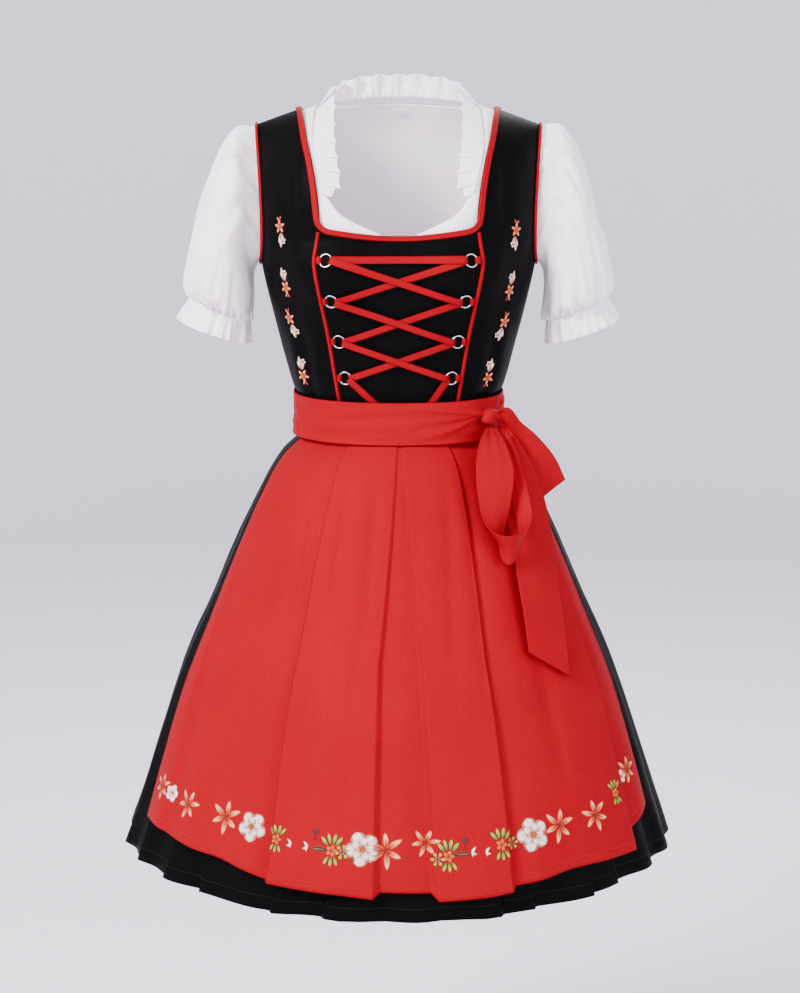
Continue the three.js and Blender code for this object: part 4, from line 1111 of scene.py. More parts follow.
@dataclass
class Bodice(Part):
    """The laced bodice: panels, bindings, piping, rings and lace."""

    seed: int = 3
    crease_gain: float = 1.7
    ring_radius: float = 7.9
    ring_wire: float = 0.85
    ring_lift: float = 2.5
    ring_joint: tuple[float, float, float] = (0.98, 1.0, 0.8)
    tab_half: float = 4.2
    tab_wall: float = 0.8
    lace_half: float = 4.05
    lace_wall: float = 0.55
    lace_low: float = 5.6
    lace_high: float = 7.4
    lace_tuck: tuple[float, float] = (-353.0, 3.2)
    front_creases: tuple[Crease, ...] = creases(
        (-60, -196, -6, -236, 1.1, 9), (64, -192, 18, -232, 1.0, 9), (-52, -246, 20, -272, -0.9, 8),
        (58, -250, -8, -284, 0.9, 9), (-38, -300, 6, -352, 1.3, 8), (44, -300, 16, -352, 1.2, 8),
        (0, -300, 3, -362, -1.2, 7), (-66, -330, -40, -366, 1.2, 7), (-10, -152, 2, -205, 0.9, 14),
    )
    # Of the wearer's left; the right ones mirror them.
    side_creases: tuple[Crease, ...] = creases(
        (104, -250, 92, -356, 1.5, 9), (122, -262, 104, -362, -1.4, 7), (138, -236, 118, -352, 1.5, 8),
        (126, -150, 112, -206, 1.4, 12), (146, -190, 124, -226, -1.2, 9), (118, -46, 116, -112, 1.1, 7),
        (134, -50, 130, -128, -0.9, 6),
    )
    back_creases: tuple[Crease, ...] = creases(
        (60, -215, 70, -350, 1.4, 11), (100, -240, 88, -356, -1.3, 9), (28, -160, 34, -330, 0.9, 12)
    )

    def panel(self, name: str, node: str, grid: Grid, folds: Iterable[Crease], rise: float, flip: bool) -> None:
        """A panel with soft wrinkles, which fade out at its seams.

        Args:
            name: The piece's name.
            node: The node that it stands for.
            grid: Its points.
            folds: Its creases.
            rise: How high the small unevenness is, mm.
            flip: Whether the grid's normals point inwards.
        """
        small = self.noise.at(grid, (26, 60, 34)) * rise + self.noise.at(grid, (9, 30, 15)) * rise * 0.3
        lift = (self.crease_gain * pressed(grid, folds) + small) * edge_fade(grid, 7)
        shape = ClothPiece(name, moved_out(grid, lift, flip=flip), flip=flip)
        self.wardrobe.cloth(shape, Fabric.BODICE, node)

    def front_panel(self) -> None:
        """The centre front under the lacing."""
        rows, columns, top = 92, 84, 14
        across = np.linspace(-1, 1, columns + 1)[None, :]
        low = np.linspace(WAIST, -155, rows)[:, None] * np.ones_like(across)
        x_low = across * (SEAM.read(low[:, :1], "across") - SEAM_GAP)
        rise = np.linspace(0, 1, top + 1)[1:, None]
        x_top = across * (SEAM.read(-155 + 20 * rise, "across") - SEAM_GAP)
        level_top = -155 * (1 - rise) + (NECK + 8.5 * (x_top / 96) ** 2) * rise
        grid = FORM.at(*FORM.place(np.vstack([x_low, x_top]), np.vstack([low, level_top])))
        self.panel("bodice_front", "bodice_front_panel", grid, self.front_creases, 0.55, False)

    def wide_panel(self, side: Side, inner: Pair, steps: tuple[int, int], rise: float, back: bool) -> None:
        """A side front or a back panel, from its inner edge to the side seam and the armhole.

        Args:
            side: Its side.
            inner: Bearings and heights of its inner edge.
            steps: Its rows and columns.
            rise: How high its small unevenness is, mm.
            back: Whether it is a back panel.
        """
        sign = side.value
        arm = armhole_edge(np.arange(1, 9) / 8, sign, back=back)
        low = np.array(LEVELS) - FORM.chest
        outer = (np.concatenate([np.full(6, sign * 90.0), arm[0]]), np.concatenate([low, arm[1]]))
        at = np.linspace(0, 13, steps[0])
        bearing, q = spots_between(dense_pair(inner, at), dense_pair(outer, at), steps[1])
        grid = FORM.at(bearing, np.minimum(q, FORM.ridge))
        folds = [
            Crease((sign * c.start[0], c.start[1]), (sign * c.end[0], c.end[1]), c.rise, c.width)
            for c in (self.back_creases if back else self.side_creases)
        ]
        name = f"back_{side.word}" if back else f"side_front_{side.word}"
        self.panel(name, f"bodice_{name}", grid, folds, rise, (sign > 0) == back)

    def side_front(self, side: Side) -> None:
        """One side front with its shoulder strap."""
        seam = [(SEAM.columns["across"][i] + SEAM_GAP, SEAM.levels[i]) for i in range(9)]
        edge = np.concatenate([seam, STRAP_FRONT])
        self.wide_panel(side, FORM.place(side.value * edge[:, 0], edge[:, 1]), (131, 44), 0.7, False)

    def back(self, side: Side) -> None:
        """One back panel."""
        levels = np.array([*LEVELS, -150, -75, -72.0])
        middle = (np.full(9, side.value * 180.0), FORM.height_of(levels, np.zeros(9)))
        strap = np.array(STRAP_BACK)
        rising = FORM.place(side.value * strap[:, 0], strap[:, 1], back=True)
        inner = tuple(np.concatenate([a, b]) for a, b in zip(middle, rising))
        self.wide_panel(side, inner, (92, 40), 0.8, True)

    def strip(self, name: str, node: str, edges: Sequence[Pair], section: np.ndarray) -> None:
        """A red strip between two edges on the form."""
        self.wardrobe.hang(strip_object(name, strip_rings(*edges, section)), Fabric.TRIM, node)

    def neck_bindings(self) -> None:
        """The red bindings of the front and the back neck edge, each with a double ridge."""
        section = profile(2, 15, 1.5, 3.3, 0.4)
        half = np.array(NECK_HALF)
        front = np.concatenate([half * (-1, 1), [[0, NECK]], half[::-1]])
        side = np.concatenate([[[123, RIDGE_LEVEL]], np.array(STRAP_BACK[:4])[::-1]])
        middle = np.array([(-32, -72), (0, -72.5), (32, -72.0)])
        behind = np.concatenate([side * (-1, 1), middle, side[::-1]])
        for name, edge, back in (("front", front, False), ("back", behind, True)):
            at = np.linspace(0, len(edge) - 1, (len(edge) - 1) * 9 + 1)
            pairs = []
            for line in (moved_edge(edge, -0.25), moved_edge(edge, 7.0)):
                bearing, q = FORM.place(line[:, 0], line[:, 1], back)
                bearing = np.where(bearing < 0, bearing + 360, bearing) if back else bearing
                pairs.append(dense_pair((bearing, q), at))
            self.strip(f"neck_edge_{name}", f"neck_binding_{name}", pairs, section)

    def armhole_binding(self, side: Side) -> None:
        """The red binding of one armhole, narrow under the arm."""
        sign, steps = side.value, 60
        i = np.arange(2 * steps)
        back = i > steps
        t = np.where(back, (2 * steps - i) / steps, i / steps)
        halves = [armhole_edge(t, sign, back=b) for b in (False, True)]
        edge = tuple(np.where(back, b, a) for a, b in zip(*halves))
        low = hill(t, 0.16)
        turn = np.where(back, 1, -1) * sign * 3.3 * (1 - low)
        inner = (edge[0] + turn, np.where(t >= 1, edge[1], edge[1] - 5 * low))
        edge[0][0] = inner[0][0] = sign * 90
        names = (f"armhole_edge_{side.word}", f"armhole_binding_{side.word}")
        self.strip(*names, (edge, inner), profile(1, 11, 1.5, 3.1, 0.5))

    def piping(self, side: Side) -> None:
        """The rounded piping on one princess seam."""
        level = np.linspace(WAIST, -139, 96)
        middle = side.value * SEAM.read(level, "across")
        pairs = [FORM.place(middle + k * side.value * 2.0, level) for k in (-1, 1)]
        names = (f"piping_{side.word}", f"princess_piping_{side.word}")
        self.strip(*names, pairs, profile(1, 11, 0.7, 2.9, 0.0))

    def ring(self, side: Side, number: int, across: float, level: float) -> None:
        """One lacing ring: bent wire with its butt joint under the tab.

        Args:
            side: Its side.
            number: Its number from the top.
            across: Its distance from the middle, mm.
            level: Its level, mm.
        """
        seat = FORM.place(side.value * across, level)
        centre = FORM.at(*seat, self.ring_lift)
        outward = Vector(unit(FORM.at(*seat, self.ring_lift + 10) - centre))
        bpy.ops.object.select_all(action="DESELECT")
        radii = {"major_radius": self.ring_radius * MM, "minor_radius": self.ring_wire * MM}
        bpy.ops.mesh.primitive_torus_add(major_segments=48, minor_segments=12, **radii)
        made = bpy.context.object
        made.name = made.data.name = f"lacing_ring_{side.word}_{number}"
        joint = side.value * self.ring_radius * MM
        bpy.ops.object.mode_set(mode="EDIT")
        bpy.ops.mesh.select_all(action="DESELECT")
        bpy.ops.object.mode_set(mode="OBJECT")
        for vertex in made.data.vertices:
            x, y, _ = vertex.co
            vertex.select = x * joint > 0 and abs(y) < 0.0004
        bpy.ops.object.mode_set(mode="EDIT")
        bpy.ops.transform.resize(value=self.ring_joint, center_override=(joint, 0, 0))
        bpy.ops.object.mode_set(mode="OBJECT")
        made.data.polygons.foreach_set("use_smooth", np.ones(len(made.data.polygons), bool))
        turn = Vector((0, 0, 1)).rotation_difference(outward).to_matrix().to_4x4()
        made.data.transform(turn)
        made.data.transform(Matrix.Translation(Vector(centre) * MM))
        self.wardrobe.hang(made, Fabric.RING, f"ring_{side.word}_{number}")

    def tab(self, side: Side, number: int, across: float, level: float) -> None:
        """The red tab that folds over a ring's outer wire.

        Args:
            side: Its side.
            number: Its number from the top.
            across: The ring's distance from the middle, mm.
            level: The ring's level, mm.
        """
        half = self.tab_half
        width = np.linspace(-half, half, 9)[None, :]
        beside = SEAM.read(level + width, "across") - 2.4
        outer = across + self.ring_radius
        stops = [(beside, 1.9), (0.55 * beside + 0.45 * (outer + 0.8), 3.1)]
        for x, out in ((0.9, 4.8), (-0.1, 5.2), (-1.6, 4.9), (-2.7, 3.4), (-3.0, 1.9)):
            stops.append((outer + x + 0 * width, out))
        at = np.linspace(0, len(stops) - 1, 25)
        x = smooth_along(np.concatenate([stop[0] for stop in stops]), at)
        out = smooth_along([stop[1] for stop in stops], at)[:, None] - 0.35 * (width / half) ** 4
        spots = FORM.place(side.value * x, level + width * np.ones_like(x))
        grid, inner = (FORM.at(*spots, out - drop) for drop in (0, self.tab_wall))
        made = ClothPiece(f"tab_{side.word}_{number}", grid, inner=inner).build()
        self.wardrobe.hang(made, Fabric.TRIM, f"ring_tab_{side.word}_{number}")

    def lace(self, name: str, start: Sequence[float], end: Sequence[float]) -> None:
        """One flat stretch of lace over the bodice, turned down into the rings at its ends.

        Args:
            name: The node's name.
            start: x, level and height of its start.
            end: The same of its end.
        """
        steps, across = 72, np.linspace(-1, 1, 13)[None, :]
        start, end = np.array(start, float), np.array(end, float)
        t = np.linspace(0, 1, steps + 1)[:, None]
        direction = unit(end[:2] - start[:2])
        square = np.array([-direction[1], direction[0]]) * self.lace_half
        x = start[0] * (1 - t) + end[0] * t + across * square[0]
        level = start[1] * (1 - t) + end[1] * t + across * square[1]
        reach = np.linalg.norm(end[:2] - start[:2])
        from_end = np.minimum(t, 1 - t) * reach
        out = start[2] * (1 - t) + end[2] * t
        sag = 0.5 * np.sin(np.pi * t)
        dip = 2.6 * hill(from_end, 2.2)
        crown = 0.28 * (1 - np.abs(across) ** 2.5)
        ripple = 0.18 * self.noise.at(np.stack([x, level, 0 * x], -1), (14, 6, 9))
        height = out - sag - dip + crown + ripple
        spots = FORM.place(x, level)
        grid, inner = (FORM.at(*spots, height - drop) for drop in (0, self.lace_wall))
        made = ClothPiece(name.replace("lace", "ribbon"), grid, inner=inner).build()
        self.wardrobe.hang(made, Fabric.LACE, name)

    def lacing(self) -> None:
        """The bar at the top, the three crosses and the two ends."""
        low, high = self.lace_low, self.lace_high

        def end(sign: int, i: int, out: float) -> tuple[float, float, float]:
            """Where a stretch ends over the inner wire of a ring."""
            return sign * (RINGS[i][0] - self.ring_radius + 3.2), RINGS[i][1], out

        self.lace("lace_top_bar", end(-1, 0, low), end(1, 0, high))
        for i in range(3):
            self.lace(f"lace_cross_under_{i + 1}", end(1, i, low), end(-1, i + 1, low))
            self.lace(f"lace_cross_over_{i + 1}", end(-1, i, high), end(1, i + 1, high))
        self.lace("lace_end_right", end(-1, 3, high), (-26, *self.lace_tuck))
        self.lace("lace_end_left", end(1, 3, low), (38, *self.lace_tuck))

    def build(self) -> None:
        """Builds the whole bodice."""
        self.front_panel()
        for side in Side:
            self.side_front(side)
            self.back(side)
            for i, (across, level) in enumerate(RINGS):
                self.ring(side, i + 1, across, level)
                self.tab(side, i + 1, across, level)
        self.neck_bindings()
        for side in Side:
            self.armhole_binding(side)
        for side in Side:
            self.piping(side)
        self.lacing()


# ---------------------------------------------------------------- blouse
# Sections of a sleeve: x and level of its outer and its inner point, half-depth, and how far forward it lies.
SLEEVE = (
    (205, -15, 184, -193, 60, 0), (226, -43, 186, -205, 69, 2), (246, -98, 186, -219, 75, 4),
    (260, -145, 186, -232, 75, 6), (269, -186, 186, -243, 70, 7), (270, -210, 187, -250, 60, 8),
    (263, -226, 190, -256, 46, 8),
)
FRILL = ((264.5, -226.8, 190, -256.6, 46.6, 8), (273, -240, 189, -270, 50, 8), (281, -255, 190, -286, 54, 8))
NECK_FRONT = ((0, -151), (24, -141), (50, -129), (74, -114), (93, -92))
NECK_SHOULDER = ((104, -58), (108, -25), (104, RIDGE_LEVEL))
NECK_BACK = ((0, 27), (27, 26.5), (53, 24.5), (78, 21), (104, float(FORM.shoulder_line(104))))


@dataclass
class Blouse(Part):
    """The white blouse: body, neck ruffles, label, puff sleeves and cuff frills."""

    seed: int = 11
    sunk: float = -4.0
    band: float = 8.0
    arm_slide: float = 1.0
    hem: float = -300
    # Soft folds of a sleeve: from and to, each as its turn and its share of the length, rise in mm, and width.
    sleeve_folds: tuple[tuple[float, ...], ...] = (
        (2.0, 0.13, 1.35, 0.66, 2.6, 0.13), (1.82, 0.13, 1.08, 0.6, -2.2, 0.12), (1.3, 0.14, 0.85, 0.6, 2.0, 0.13),
        (1.35, 0.97, 1.75, 0.7, 2.4, 0.12), (1.75, 0.97, 2.2, 0.68, 2.6, 0.13), (0.95, 0.97, 1.1, 0.74, -2.0, 0.11),
        (-1.9 + 6.2832, 0.13, -1.3 + 6.2832, 0.64, 2.4, 0.13),
    )
    front_creases: tuple[Crease, ...] = creases(
        (-96, -104, -40, -150, 2.4, 8), (-84, -98, -22, -152, -1.8, 6), (-70, -112, -6, -154, 1.8, 6),
        (96, -104, 42, -150, 2.2, 8), (84, -98, 26, -150, -1.8, 6), (68, -114, 10, -154, 1.6, 6),
        (-20, -140, 20, -154, 1.2, 6),
    )

    @property
    def ridge(self) -> float:
        """The height q of the blouse back's shoulder seam."""
        return FORM.ridge - 2.4

    def cotton(self, shape: ClothPiece, node: str, held: str = "stretched") -> None:
        """Builds and dresses one white sheet of the blouse."""
        self.wardrobe.cloth(shape, Fabric.COTTON, f"blouse_{node}", held)

    def front_spots(self, steps: int) -> np.ndarray:
        """Bearings and heights of the front: rows from the hem to the neck, then two up to each shoulder.

        Args:
            steps: Columns from the neck opening's side to the armhole.

        Returns:
            The coarse spots by row and column.
        """
        half = np.array(NECK_FRONT, float)
        xs = np.concatenate([-half[1:][::-1, 0], half[:, 0]])
        tops = np.concatenate([half[1:][::-1, 1], half[:, 1]])
        arm_rows = np.array([0, 1, 2, 3.4, 5]) / 8
        below = np.array([self.hem, *LEVELS[3:5]])
        top = len(below) + len(arm_rows) - 1
        width = len(xs) + 2 * steps
        spots = np.zeros((top + 4, width, 2))
        share = np.arange(1, steps + 1) / steps
        for r in range(top + 4):
            t = min(r, top) / top
            spots[r, steps : steps + len(xs)] = np.stack(FORM.place(xs, self.row_level(tops, t)), -1)
            for sign, place in ((-1, range(steps - 1, -1, -1)), (1, range(width - steps, width))):
                if r <= top:
                    start = FORM.place(sign * 93.0, self.row_level(-92, t))
                    if r < len(below):
                        stop = (sign * (90 - SIDE_GAP), below[r] - FORM.chest)
                    else:
                        stop = armhole_edge(arm_rows[r - len(below)], sign, slide=self.arm_slide)
                else:
                    x, level = NECK_SHOULDER[r - top - 1]
                    start = FORM.place(sign * x, level)
                    stop = armhole_edge((r - top + 5) / 8, sign, slide=self.arm_slide)
                    spots[r, place[0] - sign] = np.stack(start)
                for k, s in zip(place, share):
                    spots[r, k] = np.stack(start) * (1 - s) + np.stack(stop) * s
        return spots

    def row_level(self, top: np.ndarray | float, share: float) -> np.ndarray | float:
        """The level of a row at a share of the way from the hem to the top."""
        return self.hem + (top - self.hem) * share**0.85

    def front(self) -> None:
        """The front of the blouse, with soft folds under the neck ruffles."""
        steps, fine = 5, 5
        spots = self.front_spots(steps)
        top, width = len(spots) - 4, spots.shape[1]
        rows, columns = (top + 3) * fine + 1, (width - 1) * fine + 1
        dense = straight_along(spots, np.linspace(0, top + 3, rows))
        dense = smooth_along(dense.swapaxes(0, 1), np.linspace(0, width - 1, columns)).swapaxes(0, 1)
        grid = FORM.at(dense[..., 0], np.minimum(dense[..., 1], FORM.ridge), self.sunk)
        down = pressed(grid, self.front_creases) + 0.7 * self.noise.at(grid, (16, 16, 20))
        grid = moved_out(grid, down * edge_fade(grid, 5))

        def keep(r: np.ndarray, c: np.ndarray) -> np.ndarray:
            """Leaves the neck open."""
            return (r // fine < top) | (c // fine < steps) | (c // fine >= width - 1 - steps)

        self.cotton(ClothPiece("shirt_front", grid, wall=THIN_CLOTH, keep=keep), "front")

    def back_neck(self, t: np.ndarray, drop: float = 0.0) -> Pair:
        """The back neck edge.

        Args:
            t: From -1 to 1 along it.
            drop: How far below the edge, mm.

        Returns:
            The bearings and the heights q.
        """
        t = np.asarray(t, float)
        u = np.abs(t)
        x, level = np.moveaxis(straight_along(NECK_BACK, u * 4), -1, 0)
        level = np.where(u >= 1, RIDGE_LEVEL, level - drop * (1 - u**4))
        bearing, q = FORM.place(x, level, back=True)
        return np.where(t < 0, -bearing, bearing), np.minimum(q, self.ridge)

    def back(self) -> None:
        """The back of the blouse, seen from inside through the neck."""
        levels = np.array([self.hem, *LEVELS[3:], -150, -110, -70, -35, -10, 6.0])
        places = np.array([0, 2.2, 3.6, 4.8, 5.8, 6.7, 7.4]) / 8
        s = np.linspace(-1, 1, 81)
        sign, u = np.where(s < 0, -1, 1), np.abs(s)
        rows = []
        for r, level in enumerate(levels):
            pair = []
            for side in (-1, 1):
                start = np.array([side * 180, FORM.height_of(np.array(level), np.array(0.0))])
                if r < 3:
                    stop = np.array([side * (90 + SIDE_GAP), level - FORM.chest])
                else:
                    stop = np.stack(armhole_edge(places[r - 3], side, back=True, slide=self.arm_slide))
                pair.append(start * (1 - u[:, None]) + stop * u[:, None])
            rows.append(np.where((sign < 0)[:, None], pair[0], pair[1]))
        share = 0.62
        inside = np.stack(self.back_neck(np.clip(s / share, -1, 1), self.band + 1.5), -1)
        ends = []
        for side in (-1, 1):
            start = np.stack(self.back_neck(np.array(float(side)), self.band + 1.5))
            stop = np.array([armhole_edge(np.array(1.0), side, back=True, slide=self.arm_slide)[0], self.ridge])
            k = ((u - share) / (1 - share))[:, None]
            ends.append(start * (1 - k) + stop * k)
        outside = np.where((sign < 0)[:, None], ends[0], ends[1])
        rows.append(np.where((u <= share)[:, None], inside, outside))
        dense = straight_along(np.array(rows), np.linspace(0, 10, 61))
        grid = FORM.at(dense[..., 0], dense[..., 1], self.sunk)
        small = 1.1 * self.noise.at(grid, (26, 40, 44)) + 0.4 * self.noise.at(grid, (10, 20, 16))
        # Under the bodice it keeps inside it.
        small = np.minimum(small, 0.1 + 1.5 * ease((grid[..., 2] + 175) / 60))
        self.cotton(ClothPiece("shirt_back", moved_out(grid, small * edge_fade(grid, 6)), wall=THIN_CLOTH), "back")

    def neck_band(self) -> None:
        """The narrow band between the back and its ruffle."""
        t, share = np.linspace(-0.82, 0.82, 120), np.linspace(0, 1, 9)[:, None]
        spots = np.array([np.stack(self.back_neck(t, drop), -1) for drop in np.linspace(self.band, 0, 9)])
        pucker = 0.25 * np.sin(np.arange(120) * 2.1)[None, :] * share
        grid = FORM.at(spots[..., 0], spots[..., 1], self.sunk + pucker + 0.5 * np.sin(np.pi * share))
        self.cotton(ClothPiece("neck_band", grid, wall=THIN_CLOTH), "neck_band")

    def back_ruffle(self) -> None:
        """The standing ruffle round the back neck."""
        columns, waves = 260, 8
        share = np.linspace(0, 1, columns + 1)
        t = -0.985 + 1.97 * share
        spot = self.back_neck(t)
        base = FORM.at(*spot, self.sunk + 0.2)
        outward = unit(np.stack([base[:, 0] * 0.35, base[:, 1] - 8, 0 * t], -1))
        drift = self.noise.at(np.stack([t * 100, 0 * t, 0 * t], -1), (17, 1, 1))
        turns = share * waves * 2 * np.pi + 1.3 * drift
        end = np.abs(t) ** 3
        rows = []
        for h in np.linspace(0, 1, 20):
            slant = turns + 0.5 * h * np.sin(share * 13)
            wave = np.tanh(2.1 * np.sin(slant)) * 4.9 * h**0.75 + 0.7 * np.sin(2.7 * slant + drift) * h
            wave += 1.0 * np.sin(turns * 3.3 + 3 * drift) * hill(h - 0.12, 0.2)
            lean = (3 * (1 - end) - 22 * end) * h
            rise = 28 * h * (1 - 0.3 * end) + (1.3 * np.cos(slant) + 0.9 * drift) * h**2
            point = base + outward * (wave + lean)[:, None]
            point[:, 2] += SEAM_GAP + 0.4 + rise
            rows.append(point)
        shape = ClothPiece("neck_ruffle_back", np.array(rows), wall=RUFFLE_CLOTH, flip=True)
        self.cotton(shape, "neck_ruffle_back", "gathered")

    def front_ruffle(self, side: Side) -> None:
        """One ruffle that lies inwards from the front neck edge."""
        sign, columns, waves = side.value, 160, 7
        seam = np.array([(104, 12), (108, -25), (104, -58), (94, -91.0)])
        share = np.linspace(0, 1, columns + 1)
        t = 0.03 + 0.97 * share
        x, level = smooth_along(seam, t * 3).T
        bearing, q = FORM.place(x, level)
        base = FORM.at(sign * bearing, q, self.sunk + 0.1)
        inward = unit(np.stack([np.full_like(t, -sign), np.full_like(t, -0.12), 0.75 - 1.2 * t], -1))
        drift = self.noise.at(np.stack([t * 100, 0 * t + 7 * sign, 0 * t], -1), (19, 1, 1))
        turns = share * waves * 2 * np.pi + 0.8 * drift
        rows = []
        for h in np.linspace(0, 1, 20):
            slant = turns + 0.9 * h
            wave = np.tanh(1.9 * np.sin(slant)) * 4.3 * h**0.75
            wave += 0.9 * np.sin(turns * 3.2 + 3 * drift) * hill(h - 0.14, 0.24)
            reach = 2 * SEAM_GAP + 0.5 + 29 * h * (1 - 0.35 * hill(1 - t, 0.14))
            reach = reach + (1.6 * np.cos(slant) + 0.9 * drift) * h**1.5
            reach = reach * np.sqrt(1 - np.clip((t - 0.78) / 0.22, 0, 0.985) ** 2)
            point = base + inward * reach[:, None]
            point[:, 1] += wave * 0.8
            point[:, 2] += wave * 0.6
            rows.append(point)
        name = f"neck_ruffle_front_{side.word}"
        shape = ClothPiece(name, np.array(rows), wall=RUFFLE_CLOTH, flip=sign < 0)
        self.cotton(shape, name, "gathered")

    def label(self) -> None:
        """The blank woven size label inside the back neck."""
        low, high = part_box("size_label")
        low, high = np.array(low) / MM, np.array(high) / MM
        x = np.linspace(low[0], high[0], 31)[None, :]
        t = np.linspace(0, 1, 19)[:, None]
        y = high[1] * (1 - t) + low[1] * t + 0 * x
        z = low[2] * (1 - t) + high[2] * t + 0 * x
        curl = 0.35 * np.cos((x - x.mean()) / 4.0) * (1 - t)
        grid = np.stack([x + 0 * t, y - 0.15 + curl, z], -1)
        shape = ClothPiece("neck_label", grid, wall=0.5, flip=True)
        self.wardrobe.cloth(shape, Fabric.LABEL, "size_label", "laid")

    def section(self, row: Sequence[float], sign: int, turn: np.ndarray) -> np.ndarray:
        """Points of a sleeve's section.

        Args:
            row: One row of the sleeve's table.
            sign: 1 or -1, which side it is on.
            turn: Turns round it: 0 is outwards and a quarter turn the front.

        Returns:
            Points in mm.
        """
        out_x, out_level, in_x, in_level, half, forward = row
        x = (out_x + in_x) / 2 + (out_x - in_x) / 2 * np.cos(turn)
        level = (out_level + in_level) / 2 + (out_level - in_level) / 2 * np.cos(turn)
        return np.stack([sign * x, -forward - half * np.sin(turn), level], -1)

    def drift(self, turn: np.ndarray, radius: float, height: float, scale: float) -> np.ndarray:
        """Slow noise round a sleeve, read on a circle of some radius at a height, all in mm."""
        points = np.stack([np.cos(turn) * radius, np.sin(turn) * radius, 0 * turn + height], -1)
        return self.noise.at(points, (scale,) * 3)

    def sleeve(self, side: Side) -> None:
        """A puff sleeve, gathered at the armhole and above the elastic."""
        sign, around, rows = side.value, 180, 92
        turn = np.arange(around) / around * 2 * np.pi
        u = turn / np.pi
        back = u > 1
        t = np.clip(1 - np.where(back, 2 - u, u), 0, 1)
        edges = [armhole_edge(t, sign, back=b, slide=self.arm_slide + 0.2) for b in (False, True)]
        edge = tuple(np.where(back, b, a) for a, b in zip(*edges))
        head = FORM.at(*edge, self.sunk)
        rings = [head + (sign * (0.5 + reach), 0, 0) for reach in (0, 6)]
        rings += [self.section(row, sign, turn) for row in SLEEVE]
        grid = smooth_along(np.array(rings), np.linspace(0, 8, rows))
        share = np.linspace(0, 1, rows)[:, None]
        outer = np.clip(0.25 + 0.75 * np.cos(turn), 0, 1)[None, :]
        drift = self.drift(turn, 60, 9 * sign, 14)
        fine = np.tanh(1.4 * np.sin(turn * 31 + 2.6 * drift) + 0.7 * np.sin(turn * 53 + 5 * drift))[None, :]
        cuff = np.tanh(1.5 * np.sin(turn * 25 + 2.4 * drift) + 0.7 * np.sin(turn * 42 + 4 * drift))[None, :]
        bulge = np.sin(turn * 11 + 3 * drift)[None, :]
        soft = np.sin(np.pi * share) ** 0.7
        lift = 1.9 * fine * outer * hill(share - 0.12, 0.13) * ease(share * 14)
        lift = lift + 3.6 * cuff * hill(share - 0.94, 0.085) * (1 - ease((share - 0.965) * 24) * 0.6)
        for turn_a, share_a, turn_b, share_b, rise, wide in self.sleeve_folds:
            run = np.clip((share - share_a) / (share_b - share_a), 0, 1)
            line = turn_a + (turn_b - turn_a) * run
            fade = np.sin(np.pi * run**0.7) ** 0.8
            lift = lift + rise * fade * hill(turn[None, :] - line, wide)
        lift = lift + 2.6 * bulge * hill(share - 0.84, 0.22) * ease((1 - share) * 12)
        lift = lift + 2.6 * bulge * outer * hill(share - 0.24, 0.2) * ease(share * 9)
        lift = lift + soft * (4.2 * self.noise.at(grid, (34, 34, 50)) + 1.3 * self.noise.at(grid, (15, 15, 24)))
        grid = moved_out(grid, lift, closed=True, flip=sign < 0)
        name = f"sleeve_{side.word}"
        shape = ClothPiece(f"puff_{name}", grid, THIN_CLOTH, closed=True, flip=sign < 0)
        self.cotton(shape, name, "gathered")

    def frill(self, side: Side) -> None:
        """The frill below the elastic of a sleeve."""
        sign, around, rows = side.value, 216, 24
        turn = np.arange(around) / around * 2 * np.pi
        rings = np.array([self.section(row, sign, turn) for row in FRILL])
        grid = smooth_along(rings, np.linspace(0, 2, rows))
        share = np.linspace(0, 1, rows)[:, None]
        drift = self.drift(turn, 70, 5 * sign, 16)
        wide = np.sin(7 * turn)[None, :] * 1.6 * share
        waves = np.tanh(1.8 * np.sin(15 * turn + 3.4 * drift))[None, :] * 3.0 * share**0.7
        narrow = np.sin(44 * turn + 5 * drift)[None, :] * 1.3 * hill(share - 0.05, 0.3)
        grid = moved_out(grid, wide + waves + narrow, closed=True, flip=sign < 0)
        shape = ClothPiece(f"sleeve_frill_{side.word}", grid, RUFFLE_CLOTH, closed=True, flip=sign < 0)
        self.cotton(shape, f"cuff_frill_{side.word}", "gathered")

    def build(self) -> None:
        """Builds the whole blouse."""
        self.front()
        self.back()
        self.neck_band()
        self.back_ruffle()
        self.label()
        for side in Side:
            self.front_ruffle(side)
            self.sleeve(side)
            self.frill(side)


# ---------------------------------------------------------------- skirt and apron
BELL = Sections(
    ("side", "front", "back"),
    (
        (-952, 352, 297, 282), (-885, 332, 283, 268), (-819, 313, 265, 250), (-710, 279, 235, 220),
        (-617, 240, 202, 188), (-527, 201, 169, 155), (-450, 164, 136, 122), (-425, 147.5, 121, 107),
        (-412, 134, 110, 98), (-403, 124.5, 102, 91), (-388, 120.5, 98.5, 87.5), (-373, 120, 98, 87),
    ),
)
BELL_POWER = 2.1


def on_bell(bearing: np.ndarray, level: np.ndarray, out: np.ndarray) -> np.ndarray:
    """Points of the skirt's bell.

    Args:
        bearing: Degrees from the front.
        level: Level in mm.
        out: Distance out from the bell in mm.

    Returns:
        Points in mm.
    """
    turn = np.radians(bearing)
    sine, cosine = np.sin(turn), np.cos(turn)
    depth = np.where(cosine >= 0, BELL.read(level, "front"), BELL.read(level, "back")) + out
    side = BELL.read(level, "side") + out
    power = 2 / BELL_POWER
    x, y = side * signed_power(sine, power), -depth * signed_power(cosine, power)
    return np.stack(np.broadcast_arrays(x, y, level), -1)


def folded(groups: Sequence[np.ndarray], steps: Sequence[int]) -> np.ndarray:
    """Columns of a pleated cloth: smooth within a group of stations, sharp between groups.

    Args:
        groups: Stations of each group; a group starts where the last one ends.
        steps: Columns in each group.

    Returns:
        The stations, one a column.
    """
    made = [smooth_along(g, np.linspace(0, len(g) - 1, n + 1)[:-1]) for g, n in zip(groups, steps)]
    return np.concatenate([*made, groups[-1][-1:]])


